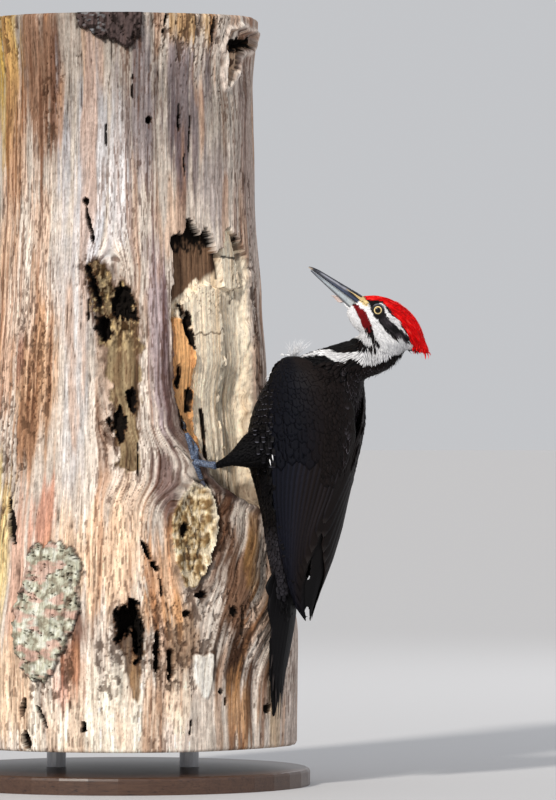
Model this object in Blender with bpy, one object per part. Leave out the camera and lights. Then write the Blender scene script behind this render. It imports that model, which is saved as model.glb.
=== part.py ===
"""A pileated woodpecker as a still, life-size display model: it clings, head thrown back, to a cut length
of dead trunk that stands on a plain base by two short rods. Metres, +Z up, origin under the base's centre.

The trunk stands about the Z axis. The bird has a frame of its own: "out" runs from the trunk's axis to the
bird's back, "side" to the bird's left and "up" along Z. The head has another, as it is turned and tilted.
"""

import math

import bmesh
import bpy
from mathutils import Matrix, Vector
from mathutils.bvhtree import BVHTree

MM = 0.001
GAP = 0.35 * MM  # left between any two pieces, so that they touch without overlapping

# Stand and perch
BASE_RADIUS = 175 * MM
BASE_THICKNESS = 16 * MM
ROD_RADIUS = 9 * MM
ROD_SPREAD = 62 * MM  # each rod's distance from the axis
PERCH_BOTTOM = 38 * MM
PERCH_TOP = 714 * MM
# (first azimuth in degrees, last, steps) and (first height in mm, last, steps): finer where the bird clings
PERCH_TURNS = [(-115, 0, 26), (0, 245, 14)]
PERCH_RISES = [(38, 190, 4), (190, 540, 16), (540, 714, 5)]
# (height, radius) of the trunk
PERCH_PROFILE = [
    (38, 160), (138, 161), (212, 152), (304, 141), (382, 133), (451, 128), (543, 123), (650, 122),
    (714, 127),
]
FLUTES = [(3, 2.2, 0.4), (5, 1.3, 1.9), (7, 0.8, 3.1)]  # (ridges round the trunk, depth mm, phase)

# The hollow that the bird stands at: height in mm, azimuth in degrees from +X (negative is to the front)
HOLLOW_TOP = 522
HOLLOW_DEPTH = 21
HOLLOW_RIGHT = -25
HOLLOW_LEFT = [(200, -22), (248, -28), (294, -54), (340, -66), (377, -68), (530, -68)]  # (height, azimuth)
LIP_HEIGHT = 4.5  # the fold of wood that borders the hollow's left and lower side
# Gouges and knots: (azimuth, height, half width in mm round the trunk, half height, depth).
# A negative depth stands proud.
PERCH_MARKS = [
    (-92, 400, 19, 100, 11),
    (-87, 133, 10, 42, 13),
    (-59, 236, 23, 46, 7),
    (-123, 160, 26, 62, -5),
    (-109, 708, 27, 30, -5),
    (-24, 676, 15, 30, 6),
]

# Where the bird is
BIRD_AZIMUTH = math.radians(-28)
# Torso by level: height, centre's out, half depth to the back, half depth to the belly, half width (mm)
TORSO = [
    (157, 169, 4, 4, 7),
    (172, 173, 8, 10, 14),
    (195, 179, 16, 19, 22),
    (220, 184, 23, 29, 29),
    (250, 187, 31.5, 36, 36),
    (280, 190, 36, 47, 41),
    (310, 194, 40.5, 60, 44),
    (340, 199, 43, 61, 44),
    (365, 204, 45, 56, 41),
    (385, 208, 42, 44, 36),
    (397, 213, 33, 31, 28),
    (406, 218, 13, 12, 14),
]
# Neck's line: out, up, radius (mm)
NECK = [
    (206, 369, 34), (216, 381, 29), (233, 391, 21.5), (251, 398.5, 19.5), (269, 406, 20.5), (280, 420, 19),
]
# Wing by level: height, centre's out, half depth, half width, then angles from the back in degrees (where
# the left wing begins, where the right one does, where both end), and mm thick. The right wing laps over
# the rump.
WING = [
    (399.5, 199, 12, 32, 85, 85, 118, 3),
    (397, 200, 21, 37, 68, 68, 128, 5),
    (385, 203, 38, 43.5, 42, 42, 129, 7),
    (370, 204, 43.5, 47.5, 28, 28, 126, 8),
    (350, 202, 46.5, 49.5, 20, 20, 118, 8),
    (331, 198, 49, 50, 14, 12, 112, 8),
    (300, 194, 45.5, 49, 11, 3, 107, 8),
    (267, 191, 40, 44.5, 22, -17, 105, 7.5),
    (239, 190, 35, 38.5, 41, -36, 101, 7),
    (212, 189, 27.5, 31, 49, -43, 98, 6),
    (185, 189, 17, 20.5, 42, -34, 96, 5),
    (166, 191, 9, 11, 42, -28, 92, 3.5),
    (155, 194, 4, 5, 50, -5, 85, 2),
]
WING_BULGE = 7  # mm more of depth on the belly's side, to clear the flank
# Tail by level: height, clear of the trunk, half width, thickness (mm)
TAIL = [
    (196, 17, 18, 10),
    (170, 12, 25, 9),
    (145, 8.5, 24.5, 7),
    (118, 5, 19.5, 5.5),
    (92, 2.2, 11, 4),
    (74, 1.0, 5.5, 3),
    (66, 0.5, 2, 1.8),
]
TAIL_DROOP = 3.5 * MM  # how far the tail's edges turn towards the trunk

# Head
HEAD_CENTRE = Vector((244.7, -129, 430.6)) * MM
HEAD_PITCH = math.radians(36)
HEAD_YAW = math.radians(4)
# Head by station along the bill's line: forward, crown, throat, half width (mm)
HEAD = [
    (-49.5, 0.9, -1.3, 1.4),
    (-46, 2.3, -3.0, 3.0),
    (-39, 6.3, -5.6, 6.2),
    (-30, 12.6, -10.8, 12),
    (-17, 18.8, -19, 17.8),
    (-3, 20.4, -23, 19.2),
    (10, 19.2, -22.5, 17.0),
    (22, 14.6, -23, 13.2),
    (31, 7.4, -19, 8.6),
    (36, 3.6, -16, 6.0),
]
# Upper and lower half of the bill: forward, far edge from the mouth line, half width (mm)
MOUTH_LINE = -2.4
UPPER_BILL = [
    (24, 8.5, 7.4), (36, 8.0, 6.9), (50, 6.6, 5.4), (65, 5.2, 4.0), (78, 4.0, 2.7), (85, 2.5, 1.9),
    (87.5, 1.1, 1.5),
]
LOWER_BILL = [
    (24, 9.0, 6.8), (36, 8.2, 6.4), (48, 5.8, 5.0), (62, 4.1, 3.6), (76, 2.3, 2.4), (84, 1.1, 1.7),
]
EYE_AT = (12.6, 4.5, 12.4)  # forward, up, side (mm)
EYE_RADIUS = 5.3 * MM

# Legs: the feet's azimuth from the bird's middle, height, and where each heel stands off the trunk
FOOT_SPREAD = math.radians(33)
FOOT_HEIGHTS = {"left": 302 * MM, "right": 312 * MM}
FOOT_LIFT = 4.2 * MM  # from the wood to the middle of the foot
HEEL_OFF_TRUNK = 24 * MM
HEEL_DROP = 3 * MM  # how far the heel is under the foot
HEEL_TURN = math.radians(4)  # from the foot back towards the bird's middle
HIP = (176, 27, 320)  # out, side, up (mm)
THIGH_RADII = [3.4, 5.8, 12, 18, 21, 20]
SHANK_RADII = [3.0, 2.5, 2.4, 2.6, 3.3]
# Toes: turn from straight up the trunk towards the bird's outer side (degrees), length, claw length (mm)
TOES = [(17, 24, 11), (-5, 20, 10), (205, 13, 9), (-92, 17, 9)]
TOE_RADII = [2.3, 1.9, 2.0, 1.7, 1.9, 1.5]
TOE_START = 3.6 * MM  # from the middle of the foot
TOE_CLEAR = (1.1 * MM, 0.5 * MM)  # under the toe at its root and at its end
CLAW_RADII = (1.83 * MM, 0.28 * MM)  # at the root and the tip
CLAW_LIFTS = (2.1 * MM, 0.9 * MM)  # the middle of the root and of the tip over the wood
CLAW_ARCH = 3.4 * MM  # how much higher than those the claw arches
CLAW_SPAN = 0.8  # share of its length that the claw covers along the wood

SMOOTH_STEPS = 2  # rings made between two given stations

COLOURS = {
    "plumage_black": (0.02, 0.02, 0.023),
    "plumage_white": (0.8, 0.79, 0.74),
    "plumage_red": (0.62, 0.015, 0.012),
    "bill_horn": (0.16, 0.17, 0.19),
    "eye": (0.75, 0.62, 0.3),
    "leg_scales": (0.2, 0.24, 0.29),
    "claw_horn": (0.09, 0.09, 0.1),
    "dead_wood": (0.6, 0.5, 0.4),
    "stand_board": (0.05, 0.045, 0.04),
    "stand_metal": (0.35, 0.35, 0.36),
}


def smooth(t):
    """0 to 1 with no corner at either end."""
    t = min(max(t, 0.0), 1.0)
    return t * t * (3 - 2 * t)


def curve_row(rows, t):
    """A row between the given ones, on a smooth curve through them. t counts rows."""
    i = min(int(t), len(rows) - 2)
    s = t - i
    p0, p1, p2, p3 = (rows[min(max(i + k, 0), len(rows) - 1)] for k in (-1, 0, 1, 2))
    return [
        0.5 * (2 * b + (c - a) * s + (2 * a - 5 * b + 4 * c - d) * s**2 + (3 * b - a - 3 * c + d) * s**3)
        for a, b, c, d in zip(p0, p1, p2, p3)
    ]


def smoothed(rows, steps=SMOOTH_STEPS):
    return [curve_row(rows, k / steps) for k in range((len(rows) - 1) * steps + 1)]


def level_value(table, level):
    """A value read from (level, value) rows, eased between them."""
    if level <= table[0][0]:
        return table[0][1]
    for (z0, v0), (z1, v1) in zip(table, table[1:]):
        if level <= z1:
            return v0 + (v1 - v0) * smooth((level - z0) / (z1 - z0))
    return table[-1][1]


def bird_point(out, side, up):
    """World point from the bird's frame, all in millimetres."""
    c, s = math.cos(BIRD_AZIMUTH), math.sin(BIRD_AZIMUTH)
    return Vector((out * c + side * s, out * s - side * c, up)) * MM


def head_point(forward, up, side):
    """World point from the head's frame, all in millimetres. side is the bird's left."""
    cp, sp = math.cos(HEAD_PITCH), math.sin(HEAD_PITCH)
    cy, sy = math.cos(HEAD_YAW), math.sin(HEAD_YAW)
    along = Vector((-cp * cy, cp * sy, sp))
    crown = Vector((sp * cy, -sp * sy, cp))
    return HEAD_CENTRE + (along * forward + crown * up + crown.cross(along) * side) * MM


def perch_radius(azimuth, height):
    """Radius of the trunk's surface, in metres, with its hollow, folds, gouges and knots."""
    level = height / MM
    degrees = math.degrees(azimuth)
    degrees = (degrees + 180) % 360 - 180
    r = level_value(PERCH_PROFILE, level)
    for ridges, depth, phase in FLUTES:
        r += depth * math.sin(ridges * azimuth + phase + level * 0.004)
    left_edge = level_value(HOLLOW_LEFT, level)
    arc = r * math.radians(1)
    from_left, from_right = (degrees - left_edge) * arc, (HOLLOW_RIGHT - degrees) * arc
    inside = smooth(from_left / 9) * smooth(from_right / 12 + 0.5) * smooth((HOLLOW_TOP - level) / 12)
    r -= HOLLOW_DEPTH * inside * smooth((level - 190) / 60)
    lip = math.exp(-(((from_left + 5) / 7) ** 2))
    r += LIP_HEIGHT * lip * smooth((400 - level) / 60) * smooth((level - 190) / 50)
    for mark_azimuth, mark_height, half_width, half_height, depth in PERCH_MARKS:
        across = (degrees - mark_azimuth) * arc / half_width
        along = (level - mark_height) / half_height
        r -= depth * smooth(1.35 - math.hypot(across, along))
    return r * MM


def polar(azimuth, radius, height):
    return Vector((radius * math.cos(azimuth), radius * math.sin(azimuth), height))


def loft(bm, rings):
    """Joins rings of points, all with the same count, into one closed body in bm."""
    circle = bmesh.ops.create_circle(bm, cap_ends=True, segments=len(rings[0]), radius=1)
    cap = circle["verts"][0].link_faces[0]
    first = list(cap.verts)
    for vertex, point in zip(first, rings[0]):
        vertex.co = point
    for ring in rings[1:]:
        cap = bmesh.ops.extrude_discrete_faces(bm, faces=[cap])["faces"][0]
        for vertex, point in zip(cap.verts, ring):
            vertex.co = point
    bmesh.ops.contextual_create(bm, geom=first)
    bmesh.ops.recalc_face_normals(bm, faces=bm.faces)


def tube_rings(points, radii, sides=8):
    """Round rings square to a line of points."""
    rings = []
    normal = None
    for i, point in enumerate(points):
        along = (points[min(i + 1, len(points) - 1)] - points[max(i - 1, 0)]).normalized()
        normal = normal or along.orthogonal()
        normal = (normal - along * normal.dot(along)).normalized()
        other = along.cross(normal)
        turns = [math.tau * k / sides for k in range(sides)]
        rings.append([point + (normal * math.cos(a) + other * math.sin(a)) * radii[i] for a in turns])
    return rings


def material(name):
    found = bpy.data.materials.get(name)
    if found:
        return found
    made = bpy.data.materials.new(name)
    made.use_nodes = True
    shader = made.node_tree.nodes["Principled BSDF"]
    shader.inputs["Base Color"].default_value = (*COLOURS[name], 1)
    shader.inputs["Roughness"].default_value = 0.35 if name in ("eye", "bill_horn", "stand_metal") else 0.7
    shader.inputs["Metallic"].default_value = 1.0 if name == "stand_metal" else 0.0
    return made


def add_object(name, bm, material_name, round_angle=50):
    """The bmesh as an object of that name. round_angle is where shading turns sharp, in degrees."""
    mesh = bpy.data.meshes.new(name)
    bm.to_mesh(mesh)
    bm.free()
    mesh.materials.append(material(material_name))
    mesh.shade_smooth()
    mesh.set_sharp_from_angle(angle=math.radians(round_angle))
    made = bpy.data.objects.new(name, mesh)
    bpy.context.scene.collection.objects.link(made)
    return made


def add_loft(name, rings, material_name):
    bm = bmesh.new()
    loft(bm, rings)
    return add_object(name, bm, material_name)


def helper(made):
    """Marks a cutter, which is no part of the model."""
    made.hide_render = True
    made.display_type = "WIRE"
    return made


def cut(made, cutter):
    boolean = made.modifiers.new("cut_" + cutter.name, "BOOLEAN")
    boolean.operation = "DIFFERENCE"
    boolean.solver = "EXACT"
    boolean.object = cutter


def evaluated_mesh(made):
    bpy.context.view_layer.update()
    return bpy.data.meshes.new_from_object(made.evaluated_get(bpy.context.evaluated_depsgraph_get()))


def spread(spans):
    """Even steps over each (first, last, steps), leaving out the last value of all."""
    return [first + (last - first) * k / steps for first, last, steps in spans for k in range(steps)]


def make_perch():
    """The trunk, and the tree of its faces, on which feet and tail are set."""
    turns = [math.radians(a) for a in spread(PERCH_TURNS)]
    levels = [z * MM for z in spread(PERCH_RISES)] + [PERCH_TOP]
    rings = [[polar(a, perch_radius(a, z), z) for a in turns] for z in levels]
    bm = bmesh.new()
    loft(bm, rings)
    bmesh.ops.triangulate(bm, faces=bm.faces)
    tree = BVHTree.FromBMesh(bm)
    add_object("perch_trunk", bm, "dead_wood")
    return tree


def make_stand():
    bm = bmesh.new()
    centre = Matrix.Translation((0, 0, BASE_THICKNESS / 2))
    bmesh.ops.create_cone(
        bm, cap_ends=True, segments=40, radius1=BASE_RADIUS, radius2=BASE_RADIUS, depth=BASE_THICKNESS,
        matrix=centre,
    )
    rim = [e for e in bm.edges if all(v.co.z > BASE_THICKNESS * 0.9 for v in e.verts)]
    bmesh.ops.bevel(bm, geom=rim, offset=3 * MM, segments=2, profile=0.5, affect="EDGES", material=-1)
    add_object("stand_base", bm, "stand_board", round_angle=40)
    low, high = BASE_THICKNESS + GAP, PERCH_BOTTOM - GAP
    for name, x in (("stand_rod_left", -ROD_SPREAD), ("stand_rod_right", ROD_SPREAD)):
        bm = bmesh.new()
        at = Matrix.Translation((x, 0, (low + high) / 2))
        bmesh.ops.create_cone(
            bm, cap_ends=True, segments=16, radius1=ROD_RADIUS, radius2=ROD_RADIUS, depth=high - low,
            matrix=at,
        )
        add_object(name, bm, "stand_metal", round_angle=40)


def torso_rings(sides=20):
    rings = []
    for up, out, back, belly, width in smoothed(TORSO):
        ring = []
        for k in range(sides):
            a = math.tau * k / sides
            depth = back if math.cos(a) > 0 else belly
            ring.append(bird_point(out + depth * math.cos(a), width * math.sin(a), up))
        rings.append(ring)
    return rings


def head_rings(sides=20):
    rings = []
    for forward, crown, throat, width in smoothed(HEAD):
        middle, half = (crown + throat) / 2, (crown - throat) / 2
        turns = [math.tau * k / sides for k in range(sides)]
        rings.append([head_point(forward, middle + half * math.sin(a), width * math.cos(a)) for a in turns])
    return rings


def make_flesh():
    """Head, neck and torso as one smooth mesh, with no cuts yet."""
    bm = bmesh.new()
    loft(bm, torso_rings())
    loft(bm, head_rings())
    line = smoothed(NECK)
    loft(bm, tube_rings([bird_point(out, 0, up) for out, up, _ in line], [r * MM for _, _, r in line], 20))
    body = helper(add_object("flesh", bm, "plumage_black"))
    remesh = body.modifiers.new("one_skin", "REMESH")
    remesh.mode = "VOXEL"
    remesh.voxel_size = 1.6 * MM
    relax = body.modifiers.new("relax", "SMOOTH")
    relax.factor = 0.5
    relax.iterations = 7
    fewer = body.modifiers.new("fewer_faces", "DECIMATE")
    fewer.ratio = 0.0158
    mesh = evaluated_mesh(body)
    bpy.data.objects.remove(body)
    return mesh


def side_of_planes(mesh, planes):
    """The part of mesh behind each (point, normal), closed where it is cut."""
    bm = bmesh.new()
    bm.from_mesh(mesh)
    for point, normal in planes:
        everything = bm.verts[:] + bm.edges[:] + bm.faces[:]
        bmesh.ops.bisect_plane(
            bm, geom=everything, plane_co=point, plane_no=normal, clear_outer=True, dist=1e-6
        )
        rim = [e for e in bm.edges if e.is_boundary]
        caps = bmesh.ops.holes_fill(bm, edges=rim, sides=0)["faces"]
        bmesh.ops.triangulate(bm, faces=caps)
    bmesh.ops.recalc_face_normals(bm, faces=bm.faces)
    return bm


def shifted(plane, distance):
    point, normal = plane
    return point + normal * distance, normal


def turned(plane):
    point, normal = plane
    return point, -normal


def make_body(flesh):
    """Parts the flesh with thin cuts into crest, head, neck and torso, and sets the eyes in the head."""
    front, back = head_point(10, -30.5, 0), head_point(-36, -18.5, 0)
    across = (front - back).cross(head_point(0, 0, 1) - head_point(0, 0, 0)).normalized()
    collar = (front, across if across.z > 0 else -across)
    chest, nape = bird_point(214, 0, 412), bird_point(262, 0, 374)
    square = (nape - chest).cross(bird_point(0, 1, 0)).normalized()
    shoulders = (chest, square if square.x > 0 else -square)
    crest_root = (head_point(-33, 0, 0), (head_point(-34, 0, 0) - head_point(-33, 0, 0)).normalized())
    half = GAP / 2
    head_side = shifted(turned(collar), -half)
    parts = {
        "crest": [head_side, shifted(turned(crest_root), -half)],
        "head": [head_side, shifted(crest_root, -half)],
        "neck": [shifted(collar, -half), shifted(turned(shoulders), -half)],
        "torso": [shifted(shoulders, -half)],
    }
    paints = {"crest": "red", "head": "red", "neck": "white", "torso": "black"}
    made = {}
    for name, planes in parts.items():
        made[name] = add_object(name, side_of_planes(flesh, planes), "plumage_" + paints[name])
    forward, up, side = EYE_AT
    for name, sign in (("left", 1), ("right", -1)):
        at = Matrix.Translation(head_point(forward, up, sign * side))
        bm = bmesh.new()
        bmesh.ops.create_uvsphere(bm, u_segments=14, v_segments=8, radius=EYE_RADIUS, matrix=at)
        add_object("eye_" + name, bm, "eye")
        bm = bmesh.new()
        bmesh.ops.create_uvsphere(bm, u_segments=14, v_segments=8, radius=EYE_RADIUS + GAP, matrix=at)
        cut(made["head"], helper(add_object("socket_" + name, bm, "eye")))


def grown(mesh, name):
    """A cutter a gap larger than the mesh all round."""
    made = bpy.data.objects.new(name, mesh.copy())
    bpy.context.scene.collection.objects.link(made)
    grow = made.modifiers.new("grow", "DISPLACE")
    grow.strength = GAP * 1.3
    grow.mid_level = 0
    return helper(made)


def bill_rings(stations, sign, sides=10):
    rings = []
    for forward, depth, width in smoothed(stations):
        ring = []
        for k in range(sides):
            a = math.tau * k / sides
            rise = max(math.sin(a), 0.0)
            side = width * math.cos(a) * (1 - 0.32 * rise)
            ring.append(head_point(forward, MOUTH_LINE + sign * (0.18 + depth * rise), side))
        rings.append(ring)
    return rings


def make_bill(flesh_cutter):
    for name, stations, sign in (("bill_upper", UPPER_BILL, 1), ("bill_lower", LOWER_BILL, -1)):
        cut(add_loft(name, bill_rings(stations, sign), "bill_horn"), flesh_cutter)


def wing_rings(sign, steps=6):
    """Crescents, thin at both ends, from the wrist down to the tip."""
    rings = []
    for up, out, depth, width, left_first, right_first, last, thick in smoothed(WING):
        first = left_first if sign > 0 else right_first
        outer, inner = [], []
        for k in range(steps + 1):
            share = k / steps
            a = math.radians(first + (last - first) * share)
            reach = depth + (WING_BULGE * smooth((up - 200) / 100) if math.cos(a) < 0 else 0)
            wall = 1.0 + (thick - 1.0) * math.sin(math.pi * share) ** 0.6
            outer.append(bird_point(out + reach * math.cos(a), sign * width * math.sin(a), up))
            depth_in, width_in = max(reach - wall, 0.4), max(width - wall, 0.4)
            inner.append(bird_point(out + depth_in * math.cos(a), sign * width_in * math.sin(a), up))
        rings.append(outer + inner[::-1])
    return rings


def make_wings(flesh_cutter):
    for name, sign in (("left", 1), ("right", -1)):
        wing = add_loft("wing_" + name, wing_rings(sign), "plumage_black")
        cut(wing, flesh_cutter)
        cut(wing, bpy.data.objects["room_thigh_" + name])


def surface_radius(tree, azimuth, height):
    """Radius of the trunk's faces at that place."""
    inwards = -polar(azimuth, 1, 0)
    hit = tree.ray_cast(polar(azimuth, 0.3, height), inwards)[0]
    return math.hypot(hit.x, hit.y)


def make_tail(tree, flesh_cutter, sides=16):
    rings = []
    for up, clear, width, thick in smoothed(TAIL):
        out = surface_radius(tree, BIRD_AZIMUTH, up * MM) / MM + clear + thick / 2
        ring = []
        for k in range(sides):
            a = math.tau * k / sides
            share = math.cos(a)
            droop = TAIL_DROOP / MM * share**2 * min(width / 20, 1)
            ring.append(bird_point(out - droop + thick / 2 * math.sin(a), width * share, up))
        rings.append(ring)
    cut(add_loft("tail", rings, "plumage_black"), flesh_cutter)


def toe_line(tree, start_azimuth, start_height, turn, length, first_lift, last_lift, steps):
    """Points along the trunk's surface from a start, heading turn radians from straight up."""
    points = []
    azimuth, height = start_azimuth, start_height
    for k in range(steps + 1):
        radius = surface_radius(tree, azimuth, height)
        lift = first_lift + (last_lift - first_lift) * k / steps
        points.append(polar(azimuth, radius + lift, height))
        step = length / steps
        height += step * math.cos(turn)
        azimuth += step * math.sin(turn) / radius
    return points, azimuth, height


def make_leg(name, sign, tree, flesh_cutter, perch_cutter):
    """Thigh, shank, toes and claws. sign is 1 on the bird's left, which is towards the viewer."""
    azimuth = BIRD_AZIMUTH - sign * FOOT_SPREAD
    height = FOOT_HEIGHTS[name]
    foot = polar(azimuth, surface_radius(tree, azimuth, height) + FOOT_LIFT, height)
    heel_azimuth = azimuth + sign * HEEL_TURN
    heel_radius = surface_radius(tree, azimuth, height) + HEEL_OFF_TRUNK
    heel = polar(heel_azimuth, heel_radius, height - HEEL_DROP)
    out, side, up = HIP
    hip = bird_point(out, sign * side, up)
    reach = len(THIGH_RADII) - 1
    thigh_line = [heel.lerp(hip, (k / reach) ** 0.9) for k in range(reach + 1)]
    thigh_rows = smoothed([[*p, r * MM] for p, r in zip(thigh_line, THIGH_RADII)], 2)
    rings = tube_rings([Vector(row[:3]) for row in thigh_rows], [row[3] for row in thigh_rows], 12)
    thigh = add_loft("thigh_" + name, rings, "plumage_black")
    cut(thigh, flesh_cutter)
    cut(thigh, perch_cutter)
    into_heel = (heel - foot).normalized() * (THIGH_RADII[0] * MM * 0.1 + GAP)
    joints = len(SHANK_RADII) - 1
    shank_line = [foot.lerp(heel - into_heel, k / joints) for k in range(joints + 1)]
    shank_rings = tube_rings(shank_line, [r * MM for r in SHANK_RADII], 10)
    shank = add_loft("shank_" + name, shank_rings, "leg_scales")
    end_room = helper(add_loft("room_thigh_" + name, grown_rings(thigh_rows, 12), "leg_scales"))
    cut(shank, end_room)
    shank_rows = [[*p, r * MM] for p, r in zip(shank_line, SHANK_RADII)]
    taken = [helper(add_loft("room_shank_" + name, grown_rings(shank_rows, 10), "leg_scales"))]
    for number, (turn, length, claw_length) in enumerate(TOES, 1):
        heading = -sign * math.radians(turn)
        start_azimuth = azimuth + TOE_START * math.sin(heading) / foot.xy.length
        start_height = height + TOE_START * math.cos(heading)
        lifts = [TOE_RADII[0] * MM + clear for clear in TOE_CLEAR]
        steps = len(TOE_RADII) - 1
        line, end_azimuth, end_height = toe_line(
            tree, start_azimuth, start_height, heading, length * MM, *lifts, steps
        )
        rows = [[*p, r * MM] for p, r in zip(line, TOE_RADII)]
        rings = tube_rings([Vector(row[:3]) for row in rows], [row[3] for row in rows], 7)
        toe = add_loft(f"toe_{name}_{number}", rings, "leg_scales")
        for cutter in [perch_cutter, *taken]:
            cut(toe, cutter)
        taken.append(helper(add_loft(f"room_toe_{name}_{number}", grown_rings(rows, 7), "leg_scales")))
        base = surface_radius(tree, end_azimuth, end_height)
        claw = claw_rings(tree, end_azimuth, end_height, heading, claw_length * MM, base)
        cut(add_loft(f"claw_{name}_{number}", claw, "claw_horn"), perch_cutter)


def grown_rings(rows, sides):
    """A limb's rings, a gap larger all round, to keep its neighbours clear of it."""
    line = [Vector(row[:3]) for row in rows]
    line[0] += (line[0] - line[1]).normalized() * GAP
    line[-1] += (line[-1] - line[-2]).normalized() * GAP
    return tube_rings(line, [row[3] + GAP for row in rows], sides)


def claw_rings(tree, azimuth, height, heading, length, base):
    """A claw that arches off the toe's end and comes down to the wood at its tip."""
    (root_radius, tip_radius), (root_lift, tip_lift) = CLAW_RADII, CLAW_LIFTS
    steps = 5
    line, radii = [], []
    for k in range(steps + 1):
        share = k / steps
        run = length * CLAW_SPAN * (share + 0.06)
        at = azimuth + run * math.sin(heading) / base
        up = height + run * math.cos(heading)
        arch = CLAW_ARCH * math.sin(math.pi * min(share * 1.15, 1))
        lift = root_lift + (tip_lift - root_lift) * share + arch
        line.append(polar(at, surface_radius(tree, at, up) + lift, up))
        radii.append(tip_radius + (root_radius - tip_radius) * (1 - share) ** 0.7)
    return tube_rings(line, radii, 6)


def main():
    for old in list(bpy.data.objects):
        bpy.data.objects.remove(old)
    make_stand()
    tree = make_perch()
    flesh = make_flesh()
    make_body(flesh)
    flesh_cutter = grown(flesh, "flesh_cutter")
    make_bill(flesh_cutter)
    make_tail(tree, flesh_cutter)
    perch_cutter = grown(bpy.data.objects["perch_trunk"].data, "perch_cutter")
    for name in ("torso", "tail"):
        cut(bpy.data.objects[name], perch_cutter)
    for name, sign in (("left", 1), ("right", -1)):
        make_leg(name, sign, tree, flesh_cutter, perch_cutter)
    make_wings(flesh_cutter)


main()
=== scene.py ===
"""The finish of a display woodpecker on a cut length of dead trunk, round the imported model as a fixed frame:
one skin under a coat of separate feathers, a horn bill, scaled feet, glass eyes, weathered wood and a plain stand.

Metres and +Z up. The trunk stands about the Z axis. "out, side, up" are the bird's own directions: from the
trunk's axis to its back, to its left, and up. "forward, up, side" are the head's: along the bill, to the
crown, to its left. A colour given as three numbers from 0 to 255 is a display colour.
"""

import math

import bmesh
import bpy
import numpy as np
from mathutils import Matrix, Vector
from mathutils.bvhtree import BVHTree
from mathutils.kdtree import KDTree


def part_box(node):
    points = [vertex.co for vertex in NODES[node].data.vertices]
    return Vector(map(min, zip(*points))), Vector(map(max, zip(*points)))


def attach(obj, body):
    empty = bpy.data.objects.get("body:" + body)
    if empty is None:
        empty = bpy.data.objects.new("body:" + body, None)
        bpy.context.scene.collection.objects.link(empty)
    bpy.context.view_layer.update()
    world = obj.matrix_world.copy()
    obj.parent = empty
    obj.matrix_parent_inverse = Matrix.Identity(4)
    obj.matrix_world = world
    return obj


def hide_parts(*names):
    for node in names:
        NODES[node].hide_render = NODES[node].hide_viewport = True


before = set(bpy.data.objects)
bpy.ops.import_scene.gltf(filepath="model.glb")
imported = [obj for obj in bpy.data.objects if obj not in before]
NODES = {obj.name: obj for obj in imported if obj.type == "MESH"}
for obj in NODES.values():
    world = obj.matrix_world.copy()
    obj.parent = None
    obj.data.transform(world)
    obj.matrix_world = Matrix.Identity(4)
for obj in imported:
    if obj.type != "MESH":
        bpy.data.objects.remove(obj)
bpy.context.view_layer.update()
MM = 0.001
RANDOM = np.random.default_rng(29)
LATTICE = np.random.default_rng(5).random((64, 64, 64)) * 2 - 1


# ---- Small sums ------------------------------------------

def paint(*shade):
    """The linear colour of a display colour."""
    share = np.array(shade) / 255
    return np.where(share <= 0.04045, share / 12.92, ((share + 0.055) / 1.055) ** 2.4)


def painted(shade):
    return paint(*shade) if isinstance(shade, tuple) else shade


def flat(count, shade):
    """The same colour at each of so many points."""
    return np.ones((count, 3)) * painted(shade)


def layered(colours, *washes):
    """Colours with washes laid over them in turn. Each has its strength at the points and its colour."""
    for mask, wash in washes:
        colours = colours + (painted(wash) - colours) * np.asarray(mask)[..., None]
    return colours


def varied(colours, share):
    """Colours made a little lighter or darker from feather to feather."""
    return colours * (1 + share * RANDOM.standard_normal((len(colours), 1)))


def smooth(t):
    """0 to 1 with no corner at either end."""
    t = np.clip(t, 0.0, 1.0)
    return t * t * (3 - 2 * t)


def ridge(values, middle, width):
    """1 where the values are at the middle, and softly down to 0 about that width away."""
    return np.exp(-(((values - middle) / width) ** 2))


def unit(vectors):
    return vectors / np.maximum(np.linalg.norm(vectors, axis=-1, keepdims=True), 1e-12)


def level_value(table, level):
    """Values eased between the (level, value) rows of a table."""
    levels, values = np.array(table, float).T
    i = np.clip(np.searchsorted(levels, level) - 1, 0, len(levels) - 2)
    return values[i] + (values[i + 1] - values[i]) * smooth((level - levels[i]) / (levels[i + 1] - levels[i]))


def noise(points, lump, octaves=3, shift=0.0):
    """Soft random values of about -1 to 1 at points in mm, in lumps of that size."""
    spot = np.asarray(points, float) / np.asarray(lump, float) + shift * 7.31
    total, weight = 0.0, 1.0
    for _ in range(octaves):
        cell = np.floor(spot).astype(int)
        f = spot - cell
        f = f * f * (3 - 2 * f)
        (x, y, z), (u, v, w) = np.moveaxis(cell % 64, -1, 0), np.moveaxis((cell + 1) % 64, -1, 0)
        fx, fy, fz = np.moveaxis(f, -1, 0)
        low = (LATTICE[x, y, z] * (1 - fx) + LATTICE[u, y, z] * fx) * (1 - fy)
        low = low + (LATTICE[x, v, z] * (1 - fx) + LATTICE[u, v, z] * fx) * fy
        high = (LATTICE[x, y, w] * (1 - fx) + LATTICE[u, y, w] * fx) * (1 - fy)
        high = high + (LATTICE[x, v, w] * (1 - fx) + LATTICE[u, v, w] * fx) * fy
        total = total + weight * (low * (1 - fz) + high * fz)
        spot, weight = spot * 2.03 + 5.1, weight * 0.5
    return total * 1.2


def inside(outline, x, y):
    """Where the points x, y are inside a closed outline."""
    found = np.zeros(np.shape(x), bool)
    corners = np.array(outline, float)
    for (x0, y0), (x1, y1) in zip(corners, np.roll(corners, -1, axis=0)):
        crosses = (y0 > y) != (y1 > y)
        rise = y1 - y0 if y1 != y0 else 1e-9
        found ^= crosses & (x < (x1 - x0) * (y - y0) / rise + x0)
    return found


# ---- The bird's and the head's own directions ------------

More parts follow.
